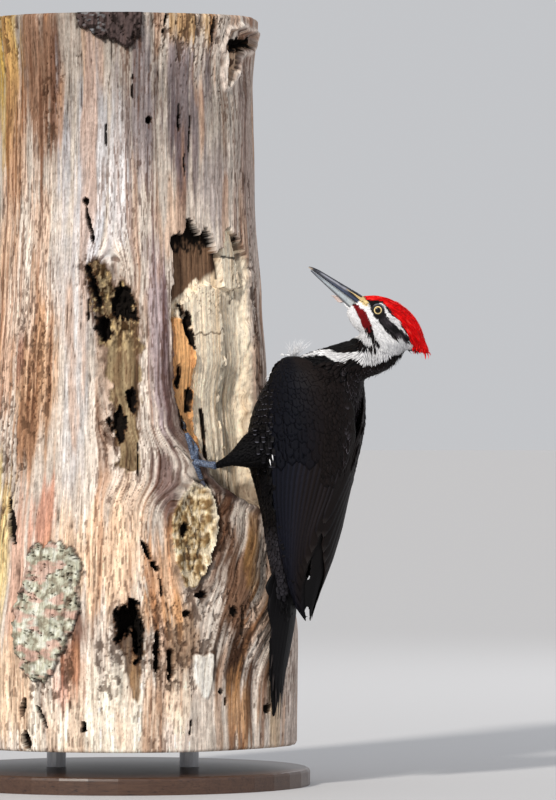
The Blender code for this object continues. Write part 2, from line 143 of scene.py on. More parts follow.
BIRD_AZIMUTH = math.radians(-28)
HEAD_CENTRE = np.array([244.7, -129, 430.6])
HEAD_PITCH, HEAD_YAW = math.radians(36), math.radians(4)
_c, _s = math.cos(BIRD_AZIMUTH), math.sin(BIRD_AZIMUTH)
BIRD_AXES = np.array([[_c, _s, 0], [_s, -_c, 0], [0, 0, 1]])  # rows: out, side, up
_cp, _sp, _cy, _sy = math.cos(HEAD_PITCH), math.sin(HEAD_PITCH), math.cos(HEAD_YAW), math.sin(HEAD_YAW)
_along, _crown = np.array([-_cp * _cy, _cp * _sy, _sp]), np.array([_sp * _cy, -_sp * _sy, _cp])
HEAD_AXES = np.array([_along, _crown, np.cross(_crown, _along)])  # rows: forward, up, side


def bird_place(points):
    """out, side, up in mm of world points."""
    return points @ BIRD_AXES.T / MM


def bird_point(place):
    return np.asarray(place, float) @ BIRD_AXES * MM


def head_place(points):
    """forward, up, side in mm of world points."""
    return (points / MM - HEAD_CENTRE) @ HEAD_AXES.T


def head_point(place):
    return (np.asarray(place, float) @ HEAD_AXES + HEAD_CENTRE) * MM


# ---- Meshes ----------------------------------------------

def points_of(mesh):
    found = np.empty(len(mesh.vertices) * 3)
    mesh.vertices.foreach_get("co", found)
    return found.reshape(-1, 3)


def normals_of(mesh):
    found = np.empty(len(mesh.vertices) * 3)
    mesh.vertex_normals.foreach_get("vector", found)
    return found.reshape(-1, 3)


def tint(mesh, name, colours):
    """Stores one colour for each vertex."""
    layer = mesh.color_attributes.new(name, "FLOAT_COLOR", "POINT")
    values = np.ones((len(colours), 4))
    values[:, :3] = np.clip(colours, 0, 1)
    layer.data.foreach_set("color", values.ravel())


def piece(name, mesh, material, replaces=()):
    """A finished mesh as a piece of the model."""
    mesh.materials.clear()
    mesh.materials.append(material)
    made = bpy.data.objects.new(name, mesh)
    bpy.context.scene.collection.objects.link(made)
    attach(made, "root")
    if replaces:
        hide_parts(*replaces)
    return made


def mesh_from(bm, name, round_angle=180):
    mesh = bpy.data.meshes.new(name)
    bm.to_mesh(mesh)
    bm.free()
    mesh.shade_smooth()
    mesh.set_sharp_from_angle(angle=math.radians(round_angle))
    return mesh


def loft(bm, rings):
    """Joins rings of points, all with the same count, into one closed body in bm."""
    circle = bmesh.ops.create_circle(bm, cap_ends=True, segments=len(rings[0]), radius=1)
    cap = circle["verts"][0].link_faces[0]
    first = list(cap.verts)
    for vertex, point in zip(first, rings[0]):
        vertex.co = point
    for ring in rings[1:]:
        cap = bmesh.ops.extrude_discrete_faces(bm, faces=[cap])["faces"][0]
        for vertex, point in zip(cap.verts, ring):
            vertex.co = point
    bmesh.ops.contextual_create(bm, geom=first)
    bmesh.ops.recalc_face_normals(bm, faces=bm.faces)


def merged_copy(nodes, grow=0.0):
    """The CAD nodes' meshes in one bmesh, with their loose triangles joined, and grown by that much."""
    bm = bmesh.new()
    for name in nodes:
        bm.from_mesh(NODES[name].data)
    bmesh.ops.remove_doubles(bm, verts=bm.verts, dist=1e-6)
    bm.normal_update()
    for vertex in bm.verts:
        vertex.co += vertex.normal * grow
    return bm


def remeshed(bm, name, voxel, relax):
    """One closed skin round everything in bm."""
    rough = mesh_from(bm, name + "_rough")
    body = bpy.data.objects.new(name + "_rough", rough)
    bpy.context.scene.collection.objects.link(body)
    remesh = body.modifiers.new("one_skin", "REMESH")
    remesh.mode = "VOXEL"
    remesh.voxel_size = voxel
    soften = body.modifiers.new("relax", "SMOOTH")
    soften.factor = 0.5
    soften.iterations = relax
    bpy.context.view_layer.update()
    mesh = bpy.data.meshes.new_from_object(body.evaluated_get(bpy.context.evaluated_depsgraph_get()))
    bpy.data.objects.remove(body)
    mesh.shade_smooth()
    return mesh


def tree_of(mesh):
    """A search tree of the mesh's faces."""
    bm = bmesh.new()
    bm.from_mesh(mesh)
    tree = BVHTree.FromBMesh(bm)
    bm.free()
    return tree


def nearest(tree, points):
    """The nearest surface points, their outward directions and their faces."""
    places, ups, faces = np.empty((len(points), 3)), np.empty((len(points), 3)), np.empty(len(points), int)
    for i, point in enumerate(points):
        place, up, face, _ = tree.find_nearest(Vector(point))
        places[i], ups[i], faces[i] = place, up, face
    return places, ups, faces


# ---- Materials -------------------------------------------

def node(tree, kind, feeds=None, **values):
    """A shader node, with the sockets that feed its inputs. A value named like an input, with _ for a space,
    sets it, and any other sets a property."""
    made = tree.nodes.new(kind)
    for name, value in values.items():
        entry = name.replace("_", " ")
        if entry in made.inputs:
            made.inputs[entry].default_value = value
        else:
            setattr(made, name, value)
    for entry, value in (feeds or {}).items():
        tree.links.new(value, made.inputs[entry])
    return made


def math_node(tree, operation, *values):
    made = node(tree, "ShaderNodeMath", operation=operation)
    for entry, value in zip(made.inputs, values):
        if isinstance(value, (int, float)):
            entry.default_value = value
        else:
            tree.links.new(value, entry)
    return made.outputs[0]


def ranged(tree, value, *ends):
    """A value carried over from one range (low, high) to another."""
    names = "From_Min", "From_Max", "To_Min", "To_Max"
    return node(tree, "ShaderNodeMapRange", {"Value": value}, **dict(zip(names, ends))).outputs["Result"]


def times(tree, colour, value):
    """A colour made lighter or darker by a value."""
    feeds = {0: colour, "Scale": value}
    return node(tree, "ShaderNodeVectorMath", feeds, operation="SCALE").outputs["Vector"]


def new_group(name, knob, value, output, kind="Float"):
    """A group that a vector and one number go into, and an output and a height come out of."""
    group = bpy.data.node_groups.new(name, "ShaderNodeTree")
    for entry, sort in (("Vector", "Vector"), (knob, "Float")):
        made = group.interface.new_socket(entry, in_out="INPUT", socket_type="NodeSocket" + sort)
    made.default_value = value
    for entry, sort in ((output, kind), ("Height", "Float")):
        group.interface.new_socket(entry, in_out="OUTPUT", socket_type="NodeSocket" + sort)
    return group, group.nodes.new("NodeGroupInput").outputs, group.nodes.new("NodeGroupOutput").inputs


def scaled(tree, vector, scale):
    return node(tree, "ShaderNodeMapping", {"Vector": vector}, Scale=scale).outputs["Vector"]


def noise_node(tree, vector, detail=2.0, roughness=0.5):
    feeds = {"Vector": vector}
    return node(tree, "ShaderNodeTexNoise", feeds, Scale=1.0, Detail=detail, Roughness=roughness).outputs["Fac"]


def grain_group():
    """Wood fibre: streaks that brown as they darken, short dark dashes and pores."""
    group, entry, leave = new_group("grain", "Contrast", 1.0, "Tint", "Color")
    found = []
    for scale, detail, roughness, *ends in (
        ((330, 330, 11), 4.0, 0.6, 0.32, 0.68, -0.1, 0.1),
        ((1300, 1300, 42), 3.0, 0.6, 0.3, 0.7, -0.2, 0.16),
        ((1500, 1500, 560), 1.0, 0.5, 0.26, 0.36, -0.34, 0.0),
        ((1150, 1150, 130), 2.0, 0.5, 0.29, 0.4, -0.42, 0.0),
    ):
        lumps = noise_node(group, scaled(group, entry["Vector"], scale), detail, roughness)
        found.append((lumps, ranged(group, lumps, *ends)))
    (wide, wide_shade), (fine, fine_shade), (_, pore_shade), (_, dash_shade) = found
    total = math_node(group, "ADD", math_node(group, "ADD", wide_shade, fine_shade), pore_shade)
    total = math_node(group, "ADD", total, dash_shade)
    shade = math_node(group, "ADD", 1.0, math_node(group, "MULTIPLY", total, entry["Contrast"]))
    shade = math_node(group, "MAXIMUM", shade, 0.12)
    powers = {"Red": 0.85, "Green": 1.05, "Blue": 1.15}
    feeds = {channel: math_node(group, "POWER", shade, power) for channel, power in powers.items()}
    group.links.new(node(group, "ShaderNodeCombineColor", feeds).outputs["Color"], leave["Tint"])
    relief = math_node(group, "ADD", fine, math_node(group, "ADD", pore_shade, dash_shade))
    group.links.new(math_node(group, "ADD", wide, relief), leave["Height"])
    return group


def barbs_group():
    """The barbs of a vane, which run outwards from the shaft and on towards the tip."""
    group, entry, leave = new_group("barbs", "Lines per mm", 1.6, "Shade")
    parts = node(group, "ShaderNodeSeparateXYZ", {0: entry["Vector"]}).outputs
    lean = math_node(group, "MULTIPLY", math_node(group, "ABSOLUTE", parts["X"]), 1.5)
    line = math_node(group, "MULTIPLY", math_node(group, "SUBTRACT", parts["Y"], lean), entry["Lines per mm"])
    feeds = {"X": line, "Y": math_node(group, "MULTIPLY", parts["X"], 0.25)}
    found = noise_node(group, node(group, "ShaderNodeCombineXYZ", feeds).outputs[0], 2.0, 0.6)
    group.links.new(ranged(group, found, 0.3, 0.7, 0.72, 1.28), leave["Shade"])
    group.links.new(found, leave["Height"])
    return group


def mottle_group():
    """Soft patches of lighter and darker tone, with fine specks."""
    group, entry, leave = new_group("mottle", "Scale", 100.0, "Shade")
    found = noise_node(group, times(group, entry["Vector"], entry["Scale"]), 4.0, 0.6)
    group.links.new(ranged(group, found, 0.3, 0.7, 0.82, 1.18), leave["Shade"])
    group.links.new(found, leave["Height"])
    return group


def finish(name, roughness, **constants):
    """A material with its shader, whose constants are set on the shader itself."""
    material = bpy.data.materials.new(name)
    material.use_nodes = True
    shader = material.node_tree.nodes["Principled BSDF"]
    shader.inputs["Roughness"].default_value = roughness
    for key, value in constants.items():
        shader.inputs[key.replace("_", " ")].default_value = value
    return material, material.node_tree, shader


def placed(tree, group, vector, **values):
    return node(tree, "ShaderNodeGroup", {"Vector": vector}, node_tree=group, **values).outputs


def surfaced(tree, shader, colour, height, distance, strength):
    """Gives a shader its colour and its fine relief."""
    bump = node(tree, "ShaderNodeBump", {"Height": height}, Distance=distance, Strength=strength)
    tree.links.new(colour, shader.inputs["Base Color"])
    tree.links.new(bump.outputs["Normal"], shader.inputs["Normal"])


def object_vector(tree):
    return tree.nodes.new("ShaderNodeTexCoord").outputs["Object"]


def stored(tree, name):
    return node(tree, "ShaderNodeVertexColor", layer_name=name).outputs["Color"]


def tinted(tree, colour, tint):
    """A colour multiplied by a tint."""
    return node(tree, "ShaderNodeVectorMath", {0: colour, 1: tint}, operation="MULTIPLY").outputs["Vector"]


def plain(tree, shade):
    made = node(tree, "ShaderNodeRGB")
    made.outputs[0].default_value = (*painted(shade), 1)
    return made.outputs[0]


def wood_material(grain):
    material, tree, shader = finish("dead_wood", 0.9, Specular_IOR_Level=0.15)
    fibres = node(tree, "ShaderNodeAttribute", attribute_name="fibres").outputs["Vector"]
    fibre = placed(tree, grain, fibres, Contrast=1.0)
    surfaced(tree, shader, tinted(tree, stored(tree, "wood"), fibre["Tint"]), fibre["Height"], 0.0005, 0.8)
    return material


def plumage_material(name, barbs, roughness, lines, **constants):
    material, tree, shader = finish(name, roughness, **constants)
    lined = placed(tree, barbs, node(tree, "ShaderNodeUVMap", uv_map="vane").outputs["UV"], Lines_per_mm=lines)
    surfaced(tree, shader, times(tree, stored(tree, "marking"), lined["Shade"]), lined["Height"], 0.00015, 0.5)
    return material


def spotted_material(name, mottle, layer, scale, depth, roughness, **constants):
    """Painted by a stored colour, with soft mottling and relief."""
    material, tree, shader = finish(name, roughness, **constants)
    spots = placed(tree, mottle, object_vector(tree), Scale=scale)
    surfaced(tree, shader, times(tree, stored(tree, layer), spots["Shade"]), spots["Height"], depth, 0.6)
    return material


def stand_board_material(grain):
    gloss = {"Specular_IOR_Level": 0.5, "Coat_Weight": 0.25, "Coat_Roughness": 0.2}
    material, tree, shader = finish("stand_board", 0.38, **gloss)
    turn, half = (0, math.radians(90), 0), (0.5, 0.5, 0.5)
    lain = node(tree, "ShaderNodeMapping", {"Vector": object_vector(tree)}, Rotation=turn, Scale=half)
    fibre = placed(tree, grain, lain.outputs["Vector"], Contrast=1.4)
    surfaced(tree, shader, tinted(tree, plain(tree, (74, 50, 36)), fibre["Tint"]), fibre["Height"], 0.0002, 0.4)
    return material


def stand_metal_material(mottle):
    material, tree, shader = finish("stand_metal", 0.32, Metallic=1.0)
    spots = placed(tree, mottle, scaled(tree, object_vector(tree), (1, 1, 0.06)), Scale=1400.0)
    tree.links.new(ranged(tree, spots["Height"], 0.2, 0.8, 0.25, 0.42), shader.inputs["Roughness"])
    grey = plain(tree, (165, 165, 168))
    surfaced(tree, shader, times(tree, grey, spots["Shade"]), spots["Height"], 0.0001, 0.3)
    return material


# ---- The trunk -------------------------------------------

TRUNK_LOW, TRUNK_HIGH = (v.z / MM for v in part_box("perch_trunk"))
# (height, radius) of the trunk
TRUNK_PROFILE = [
    (38, 160), (138, 161), (212, 152), (304, 141), (382, 133), (451, 128), (543, 123), (650, 122), (714, 127),
]
FLUTES = [(3, 2.2, 0.4), (5, 1.3, 1.9), (7, 0.8, 3.1)]  # (ridges round the trunk, depth, phase)
# The hollow that the bird stands at: its depth, its right edge, its left edge and its ragged top
HOLLOW_DEPTH = [(190, 0), (250, 21), (345, 21), (400, 12)]  # (height, depth)
HOLLOW_RIGHT = -25
HOLLOW_LEFT = [(200, -22), (248, -28), (294, -54), (340, -66), (377, -68), (530, -67)]
HOLLOW_TOP = [
    (-70, 499), (-65, 512), (-62, 514), (-60.3, 516), (-59.6, 524), (-57, 526), (-55, 521), (-53, 515),
    (-50, 517),
    (-47, 510), (-44, 501), (-41.6, 499), (-40.4, 512), (-37, 520), (-34, 514), (-31.5, 508), (-28, 500),
    (-25, 492),
]
# The lower edge of the painted shadow high in the hollow, under its top edge, as (azimuth, height)
HOLLOW_SHADOW_FOOT = [(-66, 444), (-58, 452), (-44, 470), (-41, 474), (-38, 506), (-25, 506)]  # (azimuth, height)
# Broad dents and swellings: azimuth, height, half width, half height, depth (negative stands proud)
TRUNK_MARKS = [(-92, 400, 19, 100, 9), (-87, 133, 10, 42, 8), (-62, 236, 25, 50, 7), (-24, 676, 15, 30, 6)]
# Outlines are corners of (azimuth, height), round the shape
GOUGE = [
    (-103.5, 482), (-103.8, 469), (-102.5, 451), (-100.2, 431), (-99.3, 409), (-96.4, 403), (-94.4, 379),
    (-93.1, 350), (-92.7, 322), (-90, 296), (-86.7, 292), (-82.9, 294), (-81.6, 322), (-81.4, 351),
    (-80.9, 377),
    (-81.5, 414), (-82.6, 437), (-85, 462), (-87.1, 472), (-89.6, 471), (-91.7, 462), (-92.9, 473),
    (-95.9, 486),
    (-100.1, 488),
]
KNOT = [
    (-60.6, 285), (-55.6, 281), (-52.2, 267), (-51, 248), (-52.4, 225), (-57.1, 202), (-62.6, 188),
    (-66.6, 187),
    (-68.9, 202), (-71.5, 225), (-71.9, 244), (-69.8, 259), (-65.6, 275),
]
LICHEN = [
    (-122.1, 226), (-117.4, 229), (-110.8, 230), (-105.6, 226), (-102.6, 215), (-102.1, 201), (-102.7, 184),
    (-103.9, 172), (-103.1, 161), (-104.7, 147), (-108, 136), (-110.1, 124), (-110.8, 109), (-113.6, 101),
    (-118, 102), (-122.2, 107), (-123.3, 118), (-124.9, 131), (-127.4, 142), (-127, 155), (-125.8, 167),
    (-124.5, 180), (-124.1, 195), (-123.8, 210),
]
BARK = [
    (-108.6, 718), (-108.6, 731), (-81.2, 731), (-81.2, 708), (-82.8, 692), (-86.6, 683), (-90.8, 684),
    (-95.1, 690), (-99.7, 694), (-103.6, 696), (-107.9, 699), (-109, 713),
]
LOOSE_BOARD = [
    (-41.5, 500), (-39.8, 513), (-36.9, 519), (-34.2, 513), (-32.4, 501), (-30.6, 486), (-28.9, 462),
    (-36, 458),
    (-40, 462), (-41.4, 482),
]
CRUMBLED = [
    (-65.6, 436), (-64.6, 440), (-62.6, 449), (-58.7, 455), (-56.6, 462), (-52.5, 466), (-47.5, 468),
    (-42.3, 464),
    (-40.1, 460), (-39.4, 423), (-38.5, 300), (-57.5, 300), (-57, 420), (-58.2, 432),
]
ORANGE_STRIP = [
    (-66.5, 436), (-61.5, 434), (-59, 419), (-55.5, 403), (-56, 377), (-56, 340), (-53, 306), (-60, 300),
    (-66, 336), (-68.1, 359), (-68.3, 396), (-68.5, 419),
]
TORN_FOLD = [
    (-39.2, 699), (-32.2, 703), (-18.1, 699), (-6, 700), (-8, 690), (-17, 684), (-24.4, 679), (-30.3, 670),
    (-35.7, 655), (-39.7, 648), (-39.3, 672), (-41.2, 685),
]
WHITE_CHIP = [
    (-65.2, 126), (-63, 128), (-61, 125), (-58.6, 128), (-57.2, 126), (-56.8, 107), (-57.6, 94), (-59.6, 84),
    (-62.2, 90), (-64.6, 104),
]
OLD_HOLE = [
    (-91.4, 164), (-90.1, 170), (-88.1, 172), (-87.1, 166), (-86.1, 176), (-83.7, 178), (-82.7, 169),
    (-82.7, 156),
    (-82.2, 138), (-81.8, 118), (-81.8, 105), (-82.8, 92), (-83.8, 83), (-84.8, 86), (-86.4, 101),
    (-88.1, 115),
    (-89.7, 129), (-91, 142),
]
# Holes with an outline: depth in mm, how much the edge wanders, corners
CUT_HOLES = [
    (11, 1.2, [(-103.6, 481), (-101.3, 473), (-98.6, 459), (-97, 446), (-99.5, 445), (-102.3, 458)]),

    (13, 2.0, [(-99.6, 434), (-96.6, 439), (-94.9, 431), (-93, 421), (-95.6, 409), (-98.5, 413), (-100, 423)]),
    (9, 2.6, [(-92.9, 458), (-89.6, 466), (-86.3, 460), (-84, 446), (-83, 434), (-86.7, 432), (-93.3, 440)]),
    (12, 1.4, [(-86.8, 366), (-84.5, 370), (-83.2, 357), (-84.2, 344), (-86.1, 348), (-87.5, 359)]),
    (7, 3.4, [(-93.1, 350), (-89.2, 352), (-85.4, 346), (-86.2, 329), (-89.6, 320), (-92.7, 331)]),
    (22, 2.0, [(-91.4, 164), (-89.9, 172), (-87.9, 173), (-86.9, 166), (-85.9, 178), (-83.4, 178), (-82.6, 156),
               (-82.8, 118), (-84.2, 120), (-84.8, 146), (-86.4, 150), (-88, 142), (-90.6, 138)]),
    (9, 0.8, [(-65, 390), (-63.3, 392), (-63, 381), (-64.1, 371), (-65.6, 374)]),
    (8, 0.8, [(-59.8, 368), (-57.7, 369), (-58.1, 350), (-59.8, 349)]),
    (9, 1.0, [(-62.6, 446), (-61, 447), (-59.6, 432), (-60.8, 430)]),
    (9, 1.0, [(-59.2, 440), (-57.4, 438), (-56.2, 423), (-55.4, 407), (-57.9, 411), (-59.4, 425)]),
    (8, 0.5, [(-51.2, 350), (-50, 350), (-49.6, 322), (-49.4, 303), (-50.8, 305)]),
    (8, 0.8, [(-66.3, 358), (-64.4, 352), (-64.6, 332), (-66, 336)]),
    (7, 0.6, [(-62.6, 344), (-61.6, 344), (-61.2, 322), (-62.4, 326)]),
    (9, 1.4, [(-38.5, 690), (-30, 694), (-14, 694), (-13, 689), (-24, 682), (-36, 680)]),
]
# Small holes: azimuth, height, half width, half height, depth, lean in mm sideways per mm of height
POCKETS = [
    (-105, 541, 3.2, 4.5, 6, 0), (-103, 521, 2.0, 13, 8, -0.25), (-77, 616, 2.2, 2.2, 9, 0),
    (-81, 224, 2.4, 9, 9, -0.5), (-77, 206, 4.0, 5, 11, -0.5), (-75.5, 190, 1.6, 7, 5, 0),
    (-77.5, 130, 2.6, 22, 11, 0), (-73, 118, 2.2, 13, 9, 0), (-67, 164, 4.5, 3, 6, 0),
    (-60, 181, 7, 4, 8, 0.3),
    (-43, 157, 2.6, 11, 9, 0.15), (-47, 165, 4, 4, 5, 0), (-123, 78, 2.6, 8, 10, 0.2),
    (-101.5, 60, 3.0, 6, 10, 0),
    (-122, 48, 5, 7, 9, -0.3), (-132, 250, 3.4, 20, 4, -0.3), (-116, 70, 2, 12, 5, -0.5),
    (-65.5, 241, 3.4, 6, 7, 0.3), (-70, 707, 2, 9, 5, 0.2), (-48, 704, 2.0, 14, 5, 0),
    (-63, 622, 1.3, 13, 4, 0),
    (-58, 600, 1.2, 16, 4, 0.06), (-60.5, 577, 1.0, 8, 4, 0), (-83, 300, 1.0, 14, 4, 0),
    (-66, 60, 1.1, 10, 4, 0.1),
    (-103, 440, 1.2, 9, 4, 0), (-31, 503, 1.0, 9, 5, -0.4), (-29.5, 490, 0.9, 14, 5, -0.2),
    (-54, 92, 4, 3, 6, 0),
    (-52, 83, 3, 5, 6, 0), (-84.5, 645, 0.9, 12, 3, 0), (-96, 600, 1.0, 14, 3, 0), (-31, 75, 5, 5, 5, 0),
    (38, 420, 4, 8, 4, 0), (70, 250, 2.5, 18, 4, 0.1), (108, 560, 4, 5, 4, 0), (150, 330, 2.5, 22, 4, -0.1),
    (95, 130, 4, 4, 4, 0), (20, 600, 2.5, 18, 4, 0), (170, 500, 3.5, 7, 4, 0),
]
# Zones riddled with pinholes and crumbs: azimuth, height, half width, half height, density
RIDDLED = [
    (-71, 136, 36, 44, 0.9), (-92, 118, 16, 40, 0.8), (-58, 704, 34, 34, 0.55), (-127, 385, 24, 84, 0.55),
    (-120, 640, 10, 46, 0.6), (-104, 470, 12, 24, 0.5), (-20, 440, 7, 110, 0.8), (-46, 150, 30, 34, 0.5),
    (-92, 330, 12, 30, 0.7), (-62, 178, 18, 10, 0.9), (-146, 690, 14, 40, 0.6), (-30, 480, 8, 40, 0.7),
    (-107, 130, 6, 60, 0.7), (-116, 92, 16, 10, 0.8), (-48, 250, 12, 30, 0.5), (-63, 235, 18, 40, 0.45),
    (-140, 320, 34, 80, 0.5),
]
# Marks that the fibres bend round: azimuth, height, half width, half height
FIBRE_BENDS = [
    (-62.5, 236, 25, 50), (-93, 400, 15, 92), (-89, 140, 11, 44), (-30, 675, 18, 24), (-79, 210, 7, 18),
    (-103, 525, 4, 22), (-94, 474, 12, 16),
]
# Washes of colour, painted in this order: azimuth, height, half width, half height, strength, display colour
WASHES = [
    (-147, 680, 20, 90, 0.95, (232, 192, 100)), (-126, 655, 21, 100, 0.85, (158, 112, 80)),
    (-119, 640, 8, 60, 0.7, (112, 74, 56)), (-143, 590, 14, 60, 0.6, (186, 140, 100)),
    (-101, 560, 30, 150, 0.92, (214, 212, 215)), (-112, 470, 16, 60, 0.5, (198, 190, 186)),
    (-80, 630, 14, 80, 0.8, (158, 146, 148)), (-62, 630, 30, 86, 0.85, (138, 124, 128)),
    (-67, 600, 12, 50, 0.7, (104, 88, 94)), (-58, 706, 26, 24, 0.9, (206, 170, 122)),
    (-22, 590, 22, 120, 0.85, (176, 148, 138)), (-48, 560, 16, 44, 0.7, (172, 160, 158)),
    (-74, 430, 12, 110, 0.85, (160, 142, 146)), (-70, 400, 5, 90, 0.7, (112, 88, 92)),
    (-146, 470, 18, 60, 0.8, (226, 200, 176)), (-142, 400, 20, 60, 0.8, (204, 166, 140)),
    (-127, 380, 26, 80, 0.9, (196, 156, 122)), (-134, 420, 5, 50, 0.7, (148, 104, 92)),
    (-128, 330, 16, 30, 0.6, (140, 96, 66)), (-106, 370, 13, 105, 0.92, (200, 195, 192)),
    (-93, 570, 15, 76, 0.8, (236, 231, 230)),
    (-136, 445, 17, 32, 0.8, (240, 220, 202)), (-66, 372, 9, 60, 0.6, (104, 76, 68)),
    (-88, 262, 26, 40, 0.7, (214, 184, 158)), (-96, 216, 46, 50, 0.85, (240, 206, 174)),
    (-118, 250, 12, 30, 0.85, (206, 148, 124)), (-128, 210, 8, 70, 0.8, (214, 172, 150)),
    (-138, 215, 14, 80, 0.95, (250, 228, 166)), (-72, 282, 15, 38, 0.9, (122, 96, 90)),
    (-96, 60, 80, 56, 1.0, (250, 240, 222)), (-128, 90, 22, 44, 0.6, (238, 200, 162)),
    (-68, 144, 22, 30, 0.8, (164, 132, 102)), (-79, 164, 26, 16, 0.6, (216, 172, 130)),
    (-106, 120, 12, 30, 0.85, (196, 140, 112)), (-103, 152, 7, 26, 0.85, (116, 76, 58)),
    (-45, 200, 28, 90, 1.0, (124, 94, 74)), (-46, 116, 26, 38, 1.0, (70, 48, 34)),
    (-57, 118, 5, 18, 0.9, (56, 42, 34)),
    (-44, 76, 20, 40, 0.85, (198, 148, 100)), (-40, 92, 9, 44, 0.7, (86, 58, 38)),
    (-26, 110, 13, 90, 0.85, (196, 168, 130)),
    (-71, 50, 18, 44, 0.6, (238, 218, 206)), (-36, 214, 10, 44, 0.6, (176, 132, 78)),
    (-74, 196, 18, 46, 0.55, (236, 178, 122)), (-72, 84, 19, 26, 0.8, (252, 232, 208)),
    (-108, 92, 14, 22, 0.6, (226, 160, 138)),
    (60, 520, 34, 130, 0.8, (204, 196, 192)), (100, 250, 30, 120, 0.8, (208, 166, 132)),
    (140, 420, 26, 150, 0.8, (150, 130, 124)),
    (172, 150, 34, 90, 0.8, (236, 214, 186)), (28, 210, 26, 110, 0.7, (140, 108, 88)),
    (118, 620, 30, 90, 0.8, (132, 114, 110)),
    (72, 90, 36, 60, 0.7, (226, 204, 178)), (8, 430, 16, 120, 0.7, (118, 92, 80)),
]
# The near black is painted deep shade in the hollow and its holes, and dark rot and cracks
HEARTWOOD, DARK_WOOD, BLACK_SHADE_AND_ROT = (250, 236, 212), (84, 56, 36), (17, 11, 7)
MEAN_RADIUS = 135  # the lumps in the wood are worked out on a plain cylinder of this radius
# Each outline with how far the wood's lumps and crumbs fray its edge
OUTLINES = {
    "knot": (KNOT, 2, 0), "gouge": (GOUGE, 4, 0), "lichen": (LICHEN, 4, 2), "bark": (BARK, 4, 2),
    "board": (LOOSE_BOARD, 1, 0), "heap": (CRUMBLED, 3, 2), "strip": (ORANGE_STRIP, 1, 0),
    "fold": (TORN_FOLD, 2, 0), "chip": (WHITE_CHIP, 1, 0), "hole": (OLD_HOLE, 3, 0),
}


def turned(azimuth, middle):
    """The angle in degrees from a middle azimuth to each place, the short way round."""
    return (np.degrees(azimuth) - middle + 180) % 360 - 180


def around(radius, azimuth, level):
    """Points round the trunk's axis."""
    return np.stack([radius * np.cos(azimuth), radius * np.sin(azimuth), level], axis=1)


def spot(azimuth, level, mark, rough=0.0, lean=0.0):
    """How far each place is from a mark's middle: 1 at its edge."""
    mark_azimuth, mark_level, half_width, half_height = mark[:4]
    across = turned(azimuth, mark_azimuth) * level_value(TRUNK_PROFILE, level) * math.radians(1)
    across = across - lean * (level - mark_level)
    return np.hypot(across / half_width, (level - mark_level) / half_height) + rough


def depth_inside(outline, azimuth, level, reach=30.0):
    """How many mm each place lies inside an outline. Outside it the value is negative, down to -reach."""
    corners = np.array(outline, float)
    middle = corners.mean(axis=0)
    arc = level_value(TRUNK_PROFILE, middle[1]) * math.radians(1)
    corners = (corners - middle) * (arc, 1)
    x, y = turned(azimuth, middle[0]) * arc, level - middle[1]
    found = np.full(len(x), -reach)
    near = (np.abs(x) < np.abs(corners[:, 0]).max() + reach) & (np.abs(y) < np.abs(corners[:, 1]).max() + reach)
    x, y = x[near], y[near]
    best, odd = np.full(len(x), reach), np.zeros(len(x), bool)
    for start, end in zip(corners, np.roll(corners, -1, axis=0)):
        run = end - start
        share = np.clip(((x - start[0]) * run[0] + (y - start[1]) * run[1]) / (run @ run), 0, 1)
        best = np.minimum(best, np.hypot(x - start[0] - share * run[0], y - start[1] - share * run[1]))
        if run[1]:
            odd ^= ((start[1] > y) != (end[1] > y)) & (x < run[0] * (y - start[1]) / run[1] + start[0])
    found[near] = np.where(odd, best, -best)
    return found


def fibre_places(azimuth, level, free):
    """Where each place lies along and across the fibres, which bend round knots and holes where free is 1."""
    arc = level_value(TRUNK_PROFILE, level) * math.radians(1)
    shift = np.zeros(len(azimuth))
    for mark in FIBRE_BENDS:
        across = turned(azimuth, mark[0]) * arc
        wide = np.hypot(across / mark[2], (level - mark[1]) / mark[3])
        shift -= across * 0.6 / np.maximum(wide, 1.0) ** 2 * smooth((3.2 - wide) / 1.6)
    from_left = (turned(azimuth, 0) - level_value(HOLLOW_LEFT, level)) * arc
    follow = np.exp(-((from_left / np.where(from_left < 0, 75, 14)) ** 2)) * smooth((level - 90) / 110)
    shift -= follow * 62 * np.tanh((level_value(HOLLOW_LEFT, level) + 68) * arc / 62)
    return around(MEAN_RADIUS, azimuth + free * shift / arc * math.radians(1), level)


SLANT = np.array(Matrix.Rotation(math.radians(38), 3, (0.8, 0.5, -0.35)))


